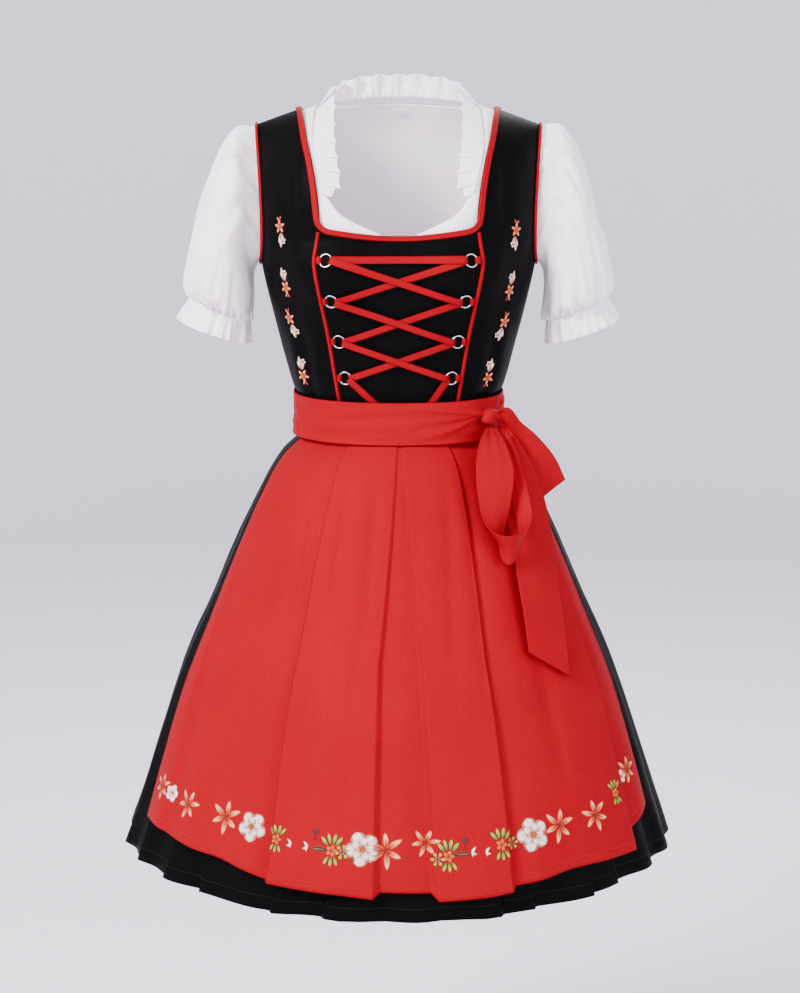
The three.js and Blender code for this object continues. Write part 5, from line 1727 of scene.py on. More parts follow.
@dataclass
class Skirt(Part):
    """The black skirt, knife-pleated away from the middle of the front and towards the back seam."""

    seed: int = 29
    length: float = 579
    rise_at_sides: float = 23
    # Bearing and way of each fold at the hem.
    front_folds: tuple[tuple[float, int], ...] = (
        *((bearing, -1) for bearing in (-78, -66, -54, -43, -24.5, -14)),
        *((bearing, 1) for bearing in (19.5, 27, 41, 49.5, 63, 77)),
    )
    back_folds: tuple[tuple[float, int], ...] = (
        *((bearing, -1) for bearing in (98, 112, 126, 140, 154, 168)),
        *((bearing, 1) for bearing in (192, 206, 220, 234, 248, 262)),
    )

    def half(self, name: str, node: str, folds: Sequence[tuple[float, int]], start: float, stop: float) -> None:
        """One half of the skirt.

        Args:
            name: The piece's name.
            node: The node that it stands for.
            folds: Bearing and way of each fold at the hem.
            start: Bearing of its first side.
            stop: Bearing of its last side.
        """
        groups, steps, run = [], [], [(start, 0.35, 0.0)]
        for i, (bearing, way) in enumerate(folds):
            before = folds[i - 1][0] if i else start
            after = folds[i + 1][0] if i < len(folds) - 1 else stop
            high, low = (bearing, 1.0, -way), (bearing, 0.0, way)
            if way > 0:
                run += [(before * 0.45 + bearing * 0.55, 0.62, 0), high]
                first, second = high, low
            else:
                run += [low]
                first, second = low, high
            groups += [np.array(run, float), np.array([first, second], float)]
            steps += [12, 4]
            run = [second] + ([(bearing * 0.55 + after * 0.45, 0.62, 0)] if way < 0 else [])
        groups.append(np.array([*run, (stop, 0.35, 0)], float))
        steps.append(12)
        bearing, out, slip = folded(groups, steps).T
        t = np.linspace(0, 1, 80) ** 1.25
        level = (WAIST - 1 - self.length * t)[:, None]
        down = (WAIST - level) / (self.length + 1)
        height = 1.1 + 6.4 * down**0.8
        turned = bearing[None, :] + slip[None, :] * (0.6 + 0.5 * down) / 2
        flutter = 3.4 * np.sin(np.radians(bearing) * 21 + 1.7 * np.sin(np.radians(bearing) * 5))[None, :]
        flutter = flutter * down**2.2
        grid = on_bell(turned, level, 1.6 + out[None, :] * height + flutter)
        grid[..., 2] += self.rise_at_sides * np.sin(np.radians(turned)) ** 2 * down**3
        soft = (1.3 * self.noise.at(grid, (30, 30, 120)) + 0.4 * self.noise.at(grid, (12, 12, 40))) * ease(down * 4)
        grid = moved_out(grid, soft * edge_fade(grid, 2) * (1 - hill(down - 1, 0.02)))
        self.wardrobe.cloth(ClothPiece(name, grid[::-1]), Fabric.SKIRT, node, "hung", ["sash_front"])

    def build(self) -> None:
        """Builds both halves."""
        self.half("pleated_skirt_front", "skirt_front", self.front_folds, -90, 90)
        self.half("pleated_skirt_back", "skirt_back", self.back_folds, 90, 270)


@dataclass
class Apron(Part):
    """The red apron with its pressed pleats."""

    seed: int = 41
    top: float = -393
    length: float = 527
    ridge_gain: float = 1.3
    # Bearing at the waist, halfway and at the hem, how far out at the waist and at the hem, and the hem's rise.
    groups: tuple[tuple[tuple[float, ...], ...], ...] = (
        (
            (-70.5, -68.5, -68, 0.2, 1.5, 40), (-66, -62.5, -60, 0.5, 4.5, 37), (-60, -58, -55.8, 0.4, 0.5, 34),
            (-52, -49, -46, 0.8, 5, 30), (-42, -40, -38, 0.3, 1.2, 26), (-33, -32, -31, 0.6, 3.5, 18),
            (-27.3, -26.9, -26.2, 0.2, 0.2, 11),
        ),
        (
            (-26.4, -25.8, -24.9, 2.4, 11, 10), (-16, -17, -16, 2.5, 11.5, 6), (-7, -10, -9, 2.5, 11, 3),
            (-0.7, -4.6, -4.4, 2.2, 11, 0),
        ),
        ((0.2, -3.4, -3.1, 0.3, 0.4, 5), (0.9, 0.7, 1.4, 0.1, 3, 5), (1.6, 4.7, 5.6, 0.3, 0.4, 4)),
        (
            (2.5, 5.9, 6.9, 2.2, 11, -3), (9, 11, 11.5, 2.5, 11.5, -2), (18, 16.5, 16.5, 2.5, 11, -1),
            (26.6, 21.8, 21.2, 2.4, 10.5, 2),
        ),
        (
            (27.5, 22.9, 22.5, 0.2, 0.3, 6), (32, 29, 28, 0.6, 3.5, 9), (40, 38, 36, 0.4, 1.5, 15),
            (49, 47, 46, 0.8, 5.5, 16), (58.6, 57.8, 55.2, 2.4, 9.5, 17),
        ),
        ((59.6, 58.9, 56.4, 0.1, 0.3, 38), (65, 64, 62, 0.5, 4.5, 48), (70.5, 69.5, 67.5, 0.2, 1.5, 57)),
    )
    soft_folds: tuple[Crease, ...] = creases(
        (-58, -420, -84, -600, 1.4, 7), (-40, -420, -66, -700, -1.1, 7), (-24, -430, -44, -640, 1.0, 8),
        (-90, -440, -150, -680, 1.8, 9), (-106, -450, -190, -700, -1.5, 9), (-96, -600, -128, -860, 1.9, 12),
        (60, -430, 66, -640, 1.2, 8), (34, -420, 42, -620, -1.0, 8), (84, -430, 108, -700, 1.5, 9),
        (150, -560, 206, -800, 1.7, 11), (-206, -720, -262, -876, 1.6, 12),
    )

    def build(self) -> None:
        """Builds the apron, with its hem turned up."""
        groups, steps = [], []
        for i, group in enumerate(self.groups):
            stations = np.array(group, float)
            if i:
                groups.append(np.array([self.groups[i - 1][-1], group[0]], float))
                steps.append(4)
            groups.append(stations)
            steps.append(9 * (len(group) - 1))
        top, middle, hem, top_out, hem_out, rise = (column[None, :] for column in folded(groups, steps).T)
        t = np.linspace(0, 1, 124) ** 1.2
        level = (self.top - self.length * t)[:, None]
        down = (self.top - level) / self.length
        bearing = np.where(
            down < 0.5, top + (middle - top) * down * 2, middle + (hem - middle) * (down * 2 - 1)
        )
        out = 6.2 + 6.8 * down**0.6 + top_out + (hem_out - top_out) * down**0.9
        grid = on_bell(bearing, level + rise * down**3, out)
        wrinkles = pressed(grid, self.soft_folds)
        wrinkles = wrinkles + self.ridge_gain * np.maximum(wrinkles, 0)
        soft = wrinkles * 0.75
        soft += 1.2 * self.noise.at(grid, (36, 36, 150)) + 0.35 * self.noise.at(grid, (12, 12, 46))
        tucks = 0.5 * np.sin(bearing * 1.9) * hill(down, 0.05) * np.clip(np.abs(bearing) / 30 - 0.9, 0, 1)
        near_hem = 0.9 * self.noise.at(grid, (22, 22, 30)) * hill(1 - down, 0.08)
        lift = (soft + near_hem) * ease(down * 5) + tucks * ease(down * 40)
        grid = moved_out(grid, lift * edge_fade(grid, 2))
        shape = ClothPiece("pleated_apron", grid[::-1])
        self.wardrobe.cloth(shape, Fabric.APRON, "apron_panel", "hung", ["sash_front"])


# ---------------------------------------------------------------- sash and bow
# Pairs of points on the two edges of each ribbon.
LOOP = (
    ((109, -94, -384.2), (122.5, -86.2, -384.6)), ((100, -126, -396), (131, -118, -397)),
    ((95, -148, -424), (142, -144, -429)), ((97, -162, -455), (139, -154, -463)),
    ((105, -174, -487), (131, -158, -502)), ((118, -183, -500), (125.5, -164, -531)),
    ((138, -184, -503), (135.5, -172, -542)), ((156, -172, -498), (146, -165, -531)),
    ((164, -155, -484), (148, -153, -505)), ((159, -138, -452), (140, -140, -466)),
    ((150, -116, -417), (132, -122, -426)), ((137, -89, -387), (125, -97, -390)),
)
LONG_TAIL = (
    ((118, -80.6, -385.4), (132, -73.6, -382.5)), ((124, -104, -408), (151, -82, -402)),
    ((129, -120, -440), (171, -88, -436)), ((134, -140, -482), (185, -98, -478)),
    ((142, -160, -533), (198, -126, -558)), ((151, -178, -586), (207, -150, -618)),
    ((159, -198, -646), (212, -180, -681)),
)
SHORT_TAIL = (
    ((126.2, -82.2, -359.8), (127, -77, -389)), ((139, -82, -360), (141, -72, -405)),
    ((153, -72, -378), (151, -71, -428)), ((173, -66, -396), (163, -77, -444)),
    ((198, -60, -426), (173, -79, -462)), ((212, -58, -455), (183, -77, -474)),
)


def on_waist(bearing: np.ndarray, level: np.ndarray, out: np.ndarray | float) -> np.ndarray:
    """Points of the sash's close-fitting form.

    Args:
        bearing: Degrees from the front.
        level: Level in mm.
        out: Distance out in mm.

    Returns:
        Points in mm.
    """
    turn = np.radians(bearing)
    sine, cosine = np.sin(turn), np.cos(turn)
    power = 2 / FORM.power
    depth = np.where(cosine >= 0, 104, 92) + out
    x, y = (126 + out) * signed_power(sine, power), -depth * signed_power(cosine, power)
    return np.stack(np.broadcast_arrays(x, y, level - 4 * np.maximum(cosine, 0)), -1)


def flowing(rows: np.ndarray, count: int) -> np.ndarray:
    """A centripetal curve through points, evenly read from point to point.

    Args:
        rows: Points, one a row.
        count: How many points to read.

    Returns:
        The read points.
    """
    rows = np.asarray(rows, float)
    ends = [2 * rows[0] - rows[1], 2 * rows[-1] - rows[-2]]
    points = np.concatenate([ends[:1], rows, ends[1:]])
    last = len(rows) - 1
    at = np.linspace(0, last, count)
    i = np.minimum(at.astype(int), last - 1)
    t = (at - i)[:, None]
    a, b, c, d = (points[i + k] for k in range(4))
    gaps = [np.sqrt(np.linalg.norm(q - p, axis=1, keepdims=True)) for p, q in ((a, b), (b, c), (c, d))]
    slope_b = ((b - a) / gaps[0] - (c - a) / (gaps[0] + gaps[1]) + (c - b) / gaps[1]) * gaps[1]
    slope_c = ((c - b) / gaps[1] - (d - b) / (gaps[1] + gaps[2]) + (d - c) / gaps[2]) * gaps[1]
    bend = 2 * b - 2 * c + slope_b + slope_c
    turn = -3 * b + 3 * c - 2 * slope_b - slope_c
    return b + slope_b * t + turn * t**2 + bend * t**3


@dataclass
class SashAndBow(Part):
    """The red sash and the bow that ties it at the wearer's left of the front."""

    seed: int = 53
    knot: tuple[float, float, float] = (50, -368, 20.2)
    knot_size: tuple[float, float, float] = (13.4, 8.8, 10.4)
    # Slope and rise of the folds of the band, which meet at the knot.
    band_folds: tuple[tuple[float, float], ...] = ((0.95, 2.6), (0.3, 4.4), (-0.16, 3.2), (-0.7, 3.6))

    def band(self, name: str, node: str, start: float, stop: float, columns: int) -> None:
        """One part of the sash, with soft folds that run to the knot.

        Args:
            name: The piece's name.
            node: The node that it stands for.
            start: Bearing of its first end.
            stop: Bearing of its last end.
            columns: Steps along it.
        """
        bearing = np.linspace(start, stop, columns + 1)[None, :]
        level = np.linspace(-399, -346, 34)[:, None]
        out = 9.6 + np.interp(level, (-399, -386, -362, -346), (1, 0.2, 0, -0.6))
        away = np.minimum(np.abs(bearing - self.knot[0]), 360 - np.abs(bearing - self.knot[0]))
        reach = hill(np.clip(away - 8, 0, None), 26)
        folds = 0.0
        for slope, rise in self.band_folds:
            line = self.knot[1] + 3 + slope * away * 0.9
            folds = folds + rise * hill(level - line, 1.6 + 0.11 * away)
        soft = 0.9 * np.sin((level + 0.12 * bearing) * 0.21) + 0.5 * np.sin((level - 0.2 * bearing) * 0.37 + 1)
        grid = on_waist(bearing, level, out + 0 * bearing)
        small = 0.8 * self.noise.at(grid, (40, 40, 12))
        lift = folds * reach + (soft + small) * 0.55 - 0.4
        shape = ClothPiece(name, moved_out(grid, lift * edge_fade(grid, 4)))
        self.wardrobe.cloth(shape, Fabric.SASH, node, "stretched", ["pleated_apron"])

    def ribbon(self, name: str, rows: Sequence, count: int, gathers: float, ends: int) -> None:
        """One ribbon of the bow, gathered where it leaves the knot.

        Args:
            name: The node's name; the piece's is the same words the other way round.
            rows: Pairs of points on its two edges.
            count: Rows of the grid.
            gathers: How high the gathers are, mm.
            ends: How many of its ends are gathered.
        """
        edges = np.array(rows, float)
        left, right = flowing(edges[:, 0], count), flowing(edges[:, 1], count)
        across = np.linspace(0, 1, 29)
        grid = left[:, None] * (1 - across)[None, :, None] + right[:, None] * across[None, :, None]
        run = np.linspace(0, 1, count)[:, None]
        held = hill(run, 0.13) + (hill(1 - run, 0.13) if ends > 1 else 0)
        drift = self.noise.at(grid, (40, 40, 60))
        deep = np.sin(across[None, :] * 2.6 * 2 * np.pi + 1.6 * drift + 0.6) * gathers * held
        wide = np.sin(across[None, :] * 2 * np.pi * 0.9 + 0.8 + 1.5 * run) * 1.7 * ease(run * 3)
        wide = wide * (hill(run - 0.45, 0.42) if ends == 1 else np.sin(np.pi * run) * 0.7)
        lift = (deep + wide + 0.9 * drift) * ease(np.minimum(run * 30, 1))
        words = name.split("_")
        shape = ClothPiece("_".join(words[1:] + words[:1]), moved_out(grid, lift))
        self.wardrobe.cloth(shape, Fabric.SASH, name, "folded", ["pleated_apron"])

    def tie(self) -> None:
        """The knot: a turn of cloth with folds round it."""
        bearing, level, out = self.knot
        centre = on_waist(np.array(bearing), np.array(level), out)
        polar = np.linspace(0.06, np.pi - 0.06, 56)[:, None]
        turn = np.linspace(0, 2 * np.pi, 97)[:-1][None, :]
        ball = [np.sin(polar) * np.cos(turn), np.sin(polar) * np.sin(turn), np.cos(polar) + 0 * turn]
        ball = np.stack(ball, -1)
        across = ball[..., 0] * 0.5 + ball[..., 2] * 0.87
        folds = 0.1 * np.tanh(2.2 * np.sin(across * 4.6 + 0.8 * ball[..., 0])) + 0.015 * np.sin(across * 14 + 2)
        folds += 0.04 * self.noise.at(ball * 100, (60, 60, 60))
        ball = signed_power(ball, 0.84) * (1 + folds * np.sin(polar) ** 0.5)[..., None] * self.knot_size
        angle = math.radians(bearing * 0.8)
        x = ball[..., 0] * math.cos(angle) - ball[..., 1] * math.sin(angle)
        y = ball[..., 0] * math.sin(angle) + ball[..., 1] * math.cos(angle)
        made = strip_object("tied_knot", np.stack([x, y, ball[..., 2]], -1) + centre)
        self.wardrobe.hang(made, Fabric.SASH, "bow_knot")

    def build(self) -> None:
        """Builds the sash, the ribbons of the bow and the knot."""
        self.band("waist_sash_front", "sash_front", -70, 70, 200)
        self.band("waist_sash_back", "sash_tie_back", 70.15, 289.85, 220)
        self.ribbon("bow_loop", LOOP, 150, 0.9, 2)
        self.ribbon("bow_tail_long", LONG_TAIL, 100, 1.3, 1)
        self.ribbon("bow_tail_short", SHORT_TAIL, 72, 1.2, 1)
        self.tie()


# ---------------------------------------------------------------- embroidery
@dataclass(frozen=True)
class Petal:
    """One satin-stitched shape: where it lies in its motif, its size and its threads.

    Angles are degrees from the motif's right, turning up; lengths are mm.
    """

    angle: float
    start: float
    length: float
    width: float
    base: Colour
    tip: Colour
    edge: Colour
    point: float = 1.0
    high: float = 0.8
    bend: float = 0.0


ORANGE: Colour = (0.5, 0.032, 0.002)
RUST: Colour = (0.2, 0.004, 0.001)
CREAM: Colour = (0.8, 0.42, 0.2)
SNOW: Colour = (0.86, 0.76, 0.7)
BLUSH: Colour = (0.45, 0.13, 0.09)
LEMON: Colour = (0.46, 0.34, 0.014)
GOLD: Colour = (0.55, 0.13, 0.004)
MOSS: Colour = (0.1, 0.11, 0.008)
PINE: Colour = (0.012, 0.018, 0.004)
BROWN: Colour = (0.03, 0.006, 0.004)
WINE: Colour = (0.075, 0.0003, 0.0008)
INK: Colour = (0.02, 0.006, 0.016)
SHADE: Colour = (0.34, 0.13, 0.09)


def ring(count: int, turn: float, *shape: object) -> list[Petal]:
    """Equal petals in a ring from a first angle on; the rest as in Petal."""
    return [Petal(turn + i * 360 / count, *shape) for i in range(count)]


def lily(size: float = 1.0, turn: float = 20) -> list[Petal]:
    """An open lily: cream petals with orange rims round a rust-red middle."""
    petals = []
    for i, reach in enumerate((12.5, 11, 13, 11.5, 12.5, 10.5)):
        angle, bend = turn + i * 60, 0.6 * (-1) ** i
        petals.append(Petal(angle, 2.2 * size, reach * size, 5.0 * size, ORANGE, CREAM, ORANGE, 1.4, 0.9, bend))
        petals.append(Petal(angle, 2.4 * size, reach * 0.62 * size, 1.4 * size, RUST, GOLD, RUST, 1.2, 1.5, bend))
    return petals + ring(5, turn + 30, 0, 5.2 * size, 2.0 * size, RUST, ORANGE, RUST, 1.0, 1.8)


def rose(size: float = 1.0, turn: float = 10) -> list[Petal]:
    """A white flower with two rings of round petals, blushing to its middle."""
    return [
        *ring(5, turn + 36, 3, 11 * size, 11 * size, CREAM, SNOW, SHADE, 0.55, 1.0),
        *ring(5, turn, 1, 8 * size, 7 * size, BLUSH, SNOW, SHADE, 0.7, 1.7),
        *ring(5, turn, 0, 3.4 * size, 1.7 * size, GOLD, RUST, GOLD, 0.8, 2.4),
    ]


def heart(size: float = 1.0, turn: float = 0) -> list[Petal]:
    """A small yellow flower with a dark eye."""
    return [
        *ring(6, turn, 2.2 * size, 4.2 * size, 4.6 * size, GOLD, LEMON, PINE, 0.6, 1.0),
        *ring(5, turn, 0, 3.0 * size, 2.2 * size, INK, BLUSH, INK, 0.8, 1.4),
    ]


def cluster(size: float = 1.0, way: float = 1) -> list[Petal]:
    """Yellow-green leaves spread round a small gold bud."""
    petals = []
    for angles, length, width in (((52, 78, 104, 128), 9, 4.2), ((-112, -86, -60), 7.6, 4.0)):
        shape = (5 * size, length * size, width * size, MOSS, LEMON, PINE, 1.0, 0.8)
        petals += [Petal(90 + way * (angle - 90), *shape) for angle in angles]
    return petals + ring(5, 0, 0, 4.8 * size, 3.4 * size, RUST, GOLD, ORANGE, 0.7, 1.3)


def leaf(size: float = 1.0, turn: float = 0) -> list[Petal]:
    """A dark leaf with a paler vein on each side."""
    return [
        Petal(turn, -8 * size, 17 * size, 6.6 * size, BROWN, BROWN, RUST, 1.1, 0.7),
        Petal(turn, -6 * size, 13 * size, 1.2 * size, MOSS, BLUSH, MOSS, 1.2, 1.2),
    ]


def bud(size: float = 1.0, turn: float = 90) -> list[Petal]:
    """A dark red bud."""
    shape = (0, 8 * size, 3.4 * size, WINE, WINE, WINE, 1.2, 0.6)
    stalk = Petal(turn + 180, 0, 5 * size, 1.6 * size, WINE, WINE, WINE, 1.2, 0.5)
    return [*(Petal(turn + side * 26, *shape) for side in (-1, 0, 1)), stalk]


def comma(size: float = 1.0, way: float = 1) -> list[Petal]:
    """A white comma-shaped petal."""
    return [
        Petal(70 if way > 0 else 110, -4 * size, 10 * size, 3.4 * size, SNOW, SNOW, BLUSH, 0.9, 0.9, way * 2.4),
        Petal(-30 if way > 0 else 210, -3 * size, 6 * size, 2.6 * size, SNOW, SNOW, BLUSH, 0.9, 1.0, way * -1.2),
    ]


def blossom(size: float = 1.0, turn: float = 0) -> list[Petal]:
    """A small white blossom."""
    petals = ring(5, turn, 1.2, 5.4 * size, 4.8 * size, BLUSH, SNOW, SNOW, 0.6, 0.9)
    return petals + ring(3, turn, 0, 1.8, 1.3, GOLD, GOLD, GOLD, 0.7, 1.6)


def shifted(petals: Sequence[Petal], across: float, up: float) -> list[tuple[Petal, float, float]]:
    """Petals of a motif with the place of its middle."""
    return [(petal, across, up) for petal in petals]


def sprig(way: float) -> list[tuple[Petal, float, float]]:
    """The upright sprig of the bodice: an orange star over a white bell, with small leaves.

    Args:
        way: 1 or -1, which side the bell leans to.

    Returns:
        The petals with the places of their motifs.
    """
    star = ring(5, 18, 1.2, 7.6, 3.9, RUST, CREAM, ORANGE, 1.5, 1.0)
    star += ring(5, 54, 0, 5.0, 2.6, RUST, ORANGE, RUST, 1.2, 1.5)
    made = shifted(star + ring(4, 0, 0, 2, 1.5, GOLD, LEMON, GOLD, 0.8, 2.0), 0.6 * way, 9)
    bell = [
        Petal(-90 + way * lean, 0, reach, 4.4, BLUSH, SNOW, SHADE, 1.0, 1.0)
        for lean, reach in ((-24, 11), (20, 13))
    ]
    bell += [Petal(-90, 4, 14, 4.2, CREAM, SNOW, SHADE, 1.2, 1.4), Petal(-90, 1, 8, 1.4, RUST, BLUSH, RUST, 1, 1.9)]
    made += shifted(bell, -0.4 * way, 1)
    made += shifted(blossom(0.55, 20), -4.2 * way, -9)
    for angle, up, length, tip in ((52, 15, 7, CREAM), (112, 16, 6, ORANGE), (150, 3, 5, LEMON), (-35, -3, 5, GOLD)):
        made += shifted([Petal(90 + way * (angle - 90), 0.5, length, 2.4, RUST, tip, RUST, 1.1, 0.7)], 0, up)
    return made


@dataclass
class Embroidery(Part):
    """Flower embroidery laid on the finished cloth."""

    # Motif, x and z of its middle as seen from the front, size, and its turn or way.
    band: tuple[tuple[Callable[..., list[Petal]], float, float, float, float], ...] = (
        (lily, -298, -834, 0.8, 30), (blossom, -284, -838, 1.2, 0), (lily, -261, -842, 0.9, 10),
        (lily, -211, -845, 1.0, 25), (rose, -178, -850, 0.95, 14), (cluster, -147, -858, 0.85, -1),
        (comma, -132, -862, 0.9, -1), (comma, -112, -863, 1.0, -1), (bud, -99, -849, 0.9, 90),
        (leaf, -95, -864, 1.0, 180), (cluster, -80, -865, 1.0, -1), (heart, -67, -866, 1.15, 10),
        (rose, -43, -862, 1.1, 6), (leaf, -52, -875, 0.7, 160), (lily, -15, -866, 1.05, 35),
        (lily, 32, -858, 0.8, 5), (heart, 47, -874, 1.1, 0), (cluster, 60, -871, 1.0, 1),
        (leaf, 76, -869, 1.0, 0), (bud, 80, -858, 0.9, 90), (comma, 91, -868, 1.0, 1),
        (comma, 108, -869, 0.9, 1), (cluster, 124, -862, 1.0, 1), (heart, 137, -864, 1.0, 12),
        (rose, 163, -857, 1.1, 0), (lily, 196, -852, 1.0, 15), (lily, 243, -849, 0.95, 40),
        (cluster, 270, -830, 0.8, 1), (blossom, 280, -818, 0.9, 10), (lily, 288, -812, 0.8, 20),
    )
    # x and z of each sprig's middle, and its turn in degrees.
    sprigs: tuple[tuple[float, float, float], ...] = (
        (-145, -143, 6), (-140.5, -200, 7), (-132.5, -256, 8), (-121, -312, 8),
        (144, -147, -6), (139, -204, -7), (129, -260, -8), (113.5, -314, -8),
    )
    small_scale: float = 1.25
    large_scale: float = 1.52

    @staticmethod
    def tree(made: bpy.types.Object) -> BVHTree:
        """A search tree of a finished piece."""
        return BVHTree.FromPolygons(
            [v.co for v in made.data.vertices], [p.vertices for p in made.data.polygons]
        )

    @staticmethod
    def shape(petal: Petal, across: float, up: float) -> tuple[np.ndarray, np.ndarray, np.ndarray, np.ndarray]:
        """The flat grid of one petal.

        Args:
            petal: The petal.
            across: x of its motif's middle, mm.
            up: Height of its motif's middle, mm.

        Returns:
            Flat places, heights over the cloth, colours and UV places in metres.
        """
        s, c = np.linspace(0, 1, 11)[:, None], np.linspace(-1, 1, 9)[None, :]
        half = petal.width / 2 * np.sin(np.pi * np.clip(s, 0.02, 0.995) ** (0.55 + 0.45 / petal.point)) ** 0.62
        along = petal.start + petal.length * s + 0 * c
        side = half * c + petal.bend * (4 * s * (1 - s))
        cosine, sine = math.cos(math.radians(petal.angle)), math.sin(math.radians(petal.angle))
        flat = np.stack([across + along * cosine - side * sine, up + along * sine + side * cosine], -1)
        dome = np.sqrt(np.clip(1 - c**4, 0, 1)) * np.sqrt(np.clip(np.sin(np.pi * s), 0, 1))
        height = 0.08 + petal.high * dome * (1 - 0.25 * hill(c, 0.14))
        rim = np.clip((np.abs(c) - 0.5) / 0.25, 0, 1) + hill(c, 0.12) * 0.3
        rim = np.clip(np.maximum(rim, (s - 0.86) / 0.08), 0, 1)[..., None]
        share = ease(s * 1.3)[..., None]
        tone = np.array(petal.base) * (1 - share) + np.array(petal.tip) * share
        colour = tone * (1 - rim) + np.array(petal.edge) * rim
        place = np.stack([along + 0.6 * side, side], -1) * MM
        return flat, height, colour, place

    def lay(
        self,
        work: Threadwork,
        tree: BVHTree,
        petals: Sequence[tuple[Petal, float, float]],
        x: float,
        z: float,
        turn: float = 0.0,
    ) -> None:
        """Lays a motif on a cloth.

        Args:
            work: Where its threads go.
            tree: Search tree of the cloth.
            petals: The petals with the places of their motifs.
            x: x of the middle, mm.
            z: z of the middle, mm.
            turn: Its turn in degrees.
        """
        met, normal, _, _ = tree.ray_cast(Vector((x, -700, z)) * MM, Vector((0, 1, 0)))
        if met is None:
            LOG.warning("no cloth for the motif at %.0f, %.0f", x, z)
            return
        if normal.y > 0:
            normal = -normal
        up = (Vector((0, 0, 1)) - normal * normal.z).normalized()
        right = up.cross(normal)
        right = right if right.x > 0 else -right
        cosine, sine = math.cos(math.radians(turn)), math.sin(math.radians(turn))
        right, up = right * cosine + up * sine, up * cosine - right * sine
        for petal, across, above in petals:
            flat, height, colour, place = self.shape(petal, across, above)
            grid = self.settled(tree, met, (right, up, normal), flat, height)
            if grid is not None:
                work.add(grid, colour, place)

    @staticmethod
    def settled(
        tree: BVHTree, middle: Vector, axes: tuple[Vector, Vector, Vector], flat: np.ndarray, height: np.ndarray
    ) -> Grid | None:
        """A flat grid let down on a cloth.

        Args:
            tree: Search tree of the cloth.
            middle: The place of its middle, in metres.
            axes: Its right, up and outward directions.
            flat: Its flat places in mm.
            height: Its heights over the cloth in mm.

        Returns:
            Points in mm, or nothing where a point finds no cloth.
        """
        right, up, outward = axes
        grid = np.empty((*height.shape, 3))
        for r, c in np.ndindex(height.shape):
            over = middle + (right * flat[r, c, 0] + up * flat[r, c, 1]) * MM
            found = tree.ray_cast(over + outward * 0.02, -outward, 0.05)[0]
            if found is None:
                return None
            grid[r, c] = np.array(found + outward * (height[r, c] * MM)) / MM
        return grid

    def build(self) -> None:
        """Sews the sprigs of the bodice and the band of the apron."""
        work = Threadwork("bodice_sprigs")
        trees = {side.value: self.tree(bpy.data.objects[f"side_front_{side.word}"]) for side in Side}
        for i, (x, z, turn) in enumerate(self.sprigs):
            side = -1 if x < 0 else 1
            self.lay(work, trees[side], sprig(side * (-1) ** i), x, z, turn + (180 if i % 2 else 0))
        self.wardrobe.hang(work.build(), Fabric.BODICE, look=ThreadFinish.name)
        work = Threadwork("apron_flowers")
        tree = self.tree(bpy.data.objects["pleated_apron"])
        for motif, x, z, size, turn in self.band:
            scale = self.small_scale if motif in (leaf, comma, bud, heart) else self.large_scale
            self.lay(work, tree, shifted(motif(size * scale, turn), 0, 0), x, z)
        self.wardrobe.hang(work.build(), Fabric.APRON, look=ThreadFinish.name)


@dataclass
class Sewing(Part):
    """The visible lines of stitches."""

    # Name, fabric and thread colour, then each cloth with its distance in mm and whether from its last row.
    lines: tuple[tuple[str, Fabric, Colour, tuple[tuple[str, float, bool], ...]], ...] = (
        ("apron_stitches", Fabric.APRON, (0.42, 0.006, 0.01), (("pleated_apron", 11.5, False),)),
        (
            "skirt_stitches",
            Fabric.SKIRT,
            (0.004, 0.004, 0.0045),
            (("pleated_skirt_front", 16, False), ("pleated_skirt_back", 16, False)),
        ),
        (
            "blouse_stitches",
            Fabric.COTTON,
            (0.68, 0.64, 0.66),
            (
                ("neck_ruffle_front_right", 3.2, True), ("neck_ruffle_front_left", 3.2, True),
                ("neck_ruffle_back", 3.2, True), ("sleeve_frill_right", 3.4, True), ("sleeve_frill_left", 3.4, True),
            ),
        ),
    )

    def line(self, work: Threadwork, name: str, distance: float, colour: Colour, from_last: bool = False) -> None:
        """Stitches along a cloth at a distance from its first or last row.

        Args:
            work: Where the stitches go.
            name: The cloth's name.
            distance: How far from the row, mm.
            colour: The thread's colour.
            from_last: Whether it runs beside the last row.
        """
        shape = self.wardrobe.shapes[name]
        grid = shape.outer[::-1] if from_last else shape.outer
        _, v = lengths(grid, shape.closed)
        columns = grid.shape[1]
        row = np.array([np.interp(distance, v[:, c], np.arange(len(grid))) for c in range(columns)])
        low = np.minimum(row.astype(int), len(grid) - 2)
        t = (row - low)[:, None]
        c = np.arange(columns)
        path = grid[low, c] * (1 - t) + grid[low + 1, c] * t
        normals = grid_normals(shape.outer, shape.closed) * (-1 if shape.flip else 1)
        normals = normals[::-1] if from_last else normals
        work.stitches(path + normals[low, c] * 0.05, normals[low, c], colour)

    def build(self) -> None:
        """Sews every visible line."""
        for name, fabric, colour, cloths in self.lines:
            work = Threadwork(name)
            for cloth, distance, from_last in cloths:
                self.line(work, cloth, distance, colour, from_last)
            self.wardrobe.hang(work.build(), fabric, look=ThreadFinish.name)


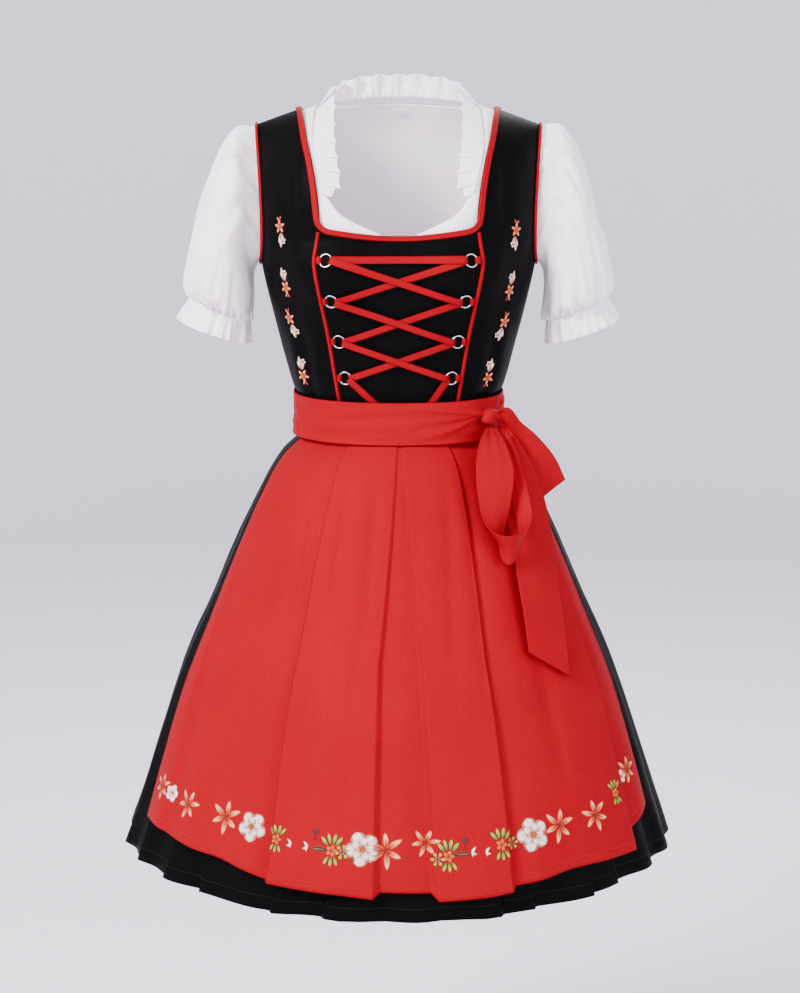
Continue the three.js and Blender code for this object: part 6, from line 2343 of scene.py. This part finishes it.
# ---------------------------------------------------------------- studio
@dataclass
class Studio:
    """The plain floor, the soft light and the camera; lengths in metres."""

    floor: float = -1.5
    reach: float = 7.0
    bend: float = 2.0
    height: float = 2.2
    paper: Colour = (0.86, 0.815, 0.91)
    room: Colour = (0.93, 0.93, 0.96)
    middle: float = -0.48
    # The camera: focal length, height and shift of the picture in pixels, distance, tilt, and level of its aim.
    focal: float = 2154
    picture: float = 993
    shift: float = 1.6
    distance: float = 2.8
    tilt: float = 10
    aim: float = -0.487

    def backdrop(self) -> None:
        """A pale round floor that curves up into a wall on every side."""
        around = np.linspace(0, 2 * np.pi, 97)[:-1]
        line = [(0.02, self.floor), (3.0, self.floor)]
        line += [
            (self.reach - self.bend + self.bend * math.sin(a), self.floor + self.bend - self.bend * math.cos(a))
            for a in np.linspace(0, np.pi / 2, 16)
        ]
        line.append((self.reach, self.height))
        points = np.array([(r * math.cos(a), r * math.sin(a), z) for r, z in line for a in around])
        count = len(around)
        faces = []
        for row in range(0, (len(line) - 1) * count, count):
            for a, b in ((c, (c + 1) % count) for c in range(count)):
                faces.append((row + a, row + b, row + count + b, row + count + a))
        made = new_object("studio_sweep", points, faces, np.ones(len(faces), bool), scale=1)
        look, graph, surface = new_look("studio_paper")
        graph.feed(surface, {"Base Color": self.paper, "Roughness": 0.95})
        made.data.materials.append(look)

    def light(self, name: str, place: Sequence[float], size: float, power: float, colour: Colour) -> None:
        """One soft square light that looks at the middle of the piece.

        Args:
            name: Its name.
            place: Where it stands, m.
            size: Its side, m.
            power: Its power, W.
            colour: Its colour.
        """
        data = bpy.data.lights.new(name, "AREA")
        data.size, data.energy, data.color = size, power, colour
        made = bpy.data.objects.new(name, data)
        made.location = place
        aim = Vector((0, 0, self.middle)) - Vector(place)
        made.rotation_euler = aim.to_track_quat("-Z", "Y").to_euler()
        bpy.context.scene.collection.objects.link(made)

    def camera(self) -> None:
        """The camera, a little above the waist and tilted down."""
        data = bpy.data.cameras.new("camera")
        data.sensor_fit, data.sensor_width, data.sensor_height = "AUTO", 36, 36
        data.lens = self.focal / self.picture * 36
        data.shift_x = self.shift / self.picture
        data.clip_end = 40
        made = bpy.data.objects.new("camera", data)
        tilt = math.radians(self.tilt)
        made.location = (0, -self.distance * math.cos(tilt), self.aim + self.distance * math.sin(tilt))
        made.rotation_euler = (math.pi / 2 - tilt, 0, 0)
        bpy.context.scene.collection.objects.link(made)
        bpy.context.scene.camera = made

    def build(self) -> None:
        """Sets up the studio."""
        self.backdrop()
        self.light("key", (-2.2, -2.2, 1.7), 1.1, 305, (1.0, 0.985, 0.985))
        self.light("fill", (2.3, -2.3, 0.3), 1.8, 62, (0.97, 0.98, 1.0))
        self.light("front", (0.1, -3.3, 0.5), 1.2, 48, (1.0, 0.98, 1.0))
        self.light("rim", (0.6, 2.3, 1.6), 1.8, 80, (1, 1, 1))
        world = bpy.data.worlds.new("soft_room")
        world.use_nodes = True
        background = world.node_tree.nodes["Background"]
        Shader(world.node_tree).feed(background, {"Color": self.room, "Strength": 1.2})
        bpy.context.scene.world = world
        self.camera()


def main() -> None:
    """Builds every piece on the frame."""
    logging.basicConfig(level=logging.INFO, format="%(name)s: %(message)s")
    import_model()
    effects = Effects()
    for finish in FINISHES:
        finish.build(effects)
    wardrobe = Wardrobe()
    for part in (Blouse, Bodice, Skirt, Apron, SashAndBow, Embroidery, Sewing):
        LOG.info("building the %s", part.__name__)
        part(wardrobe).build()
    Studio().build()


if __name__ == "__main__":
    main()
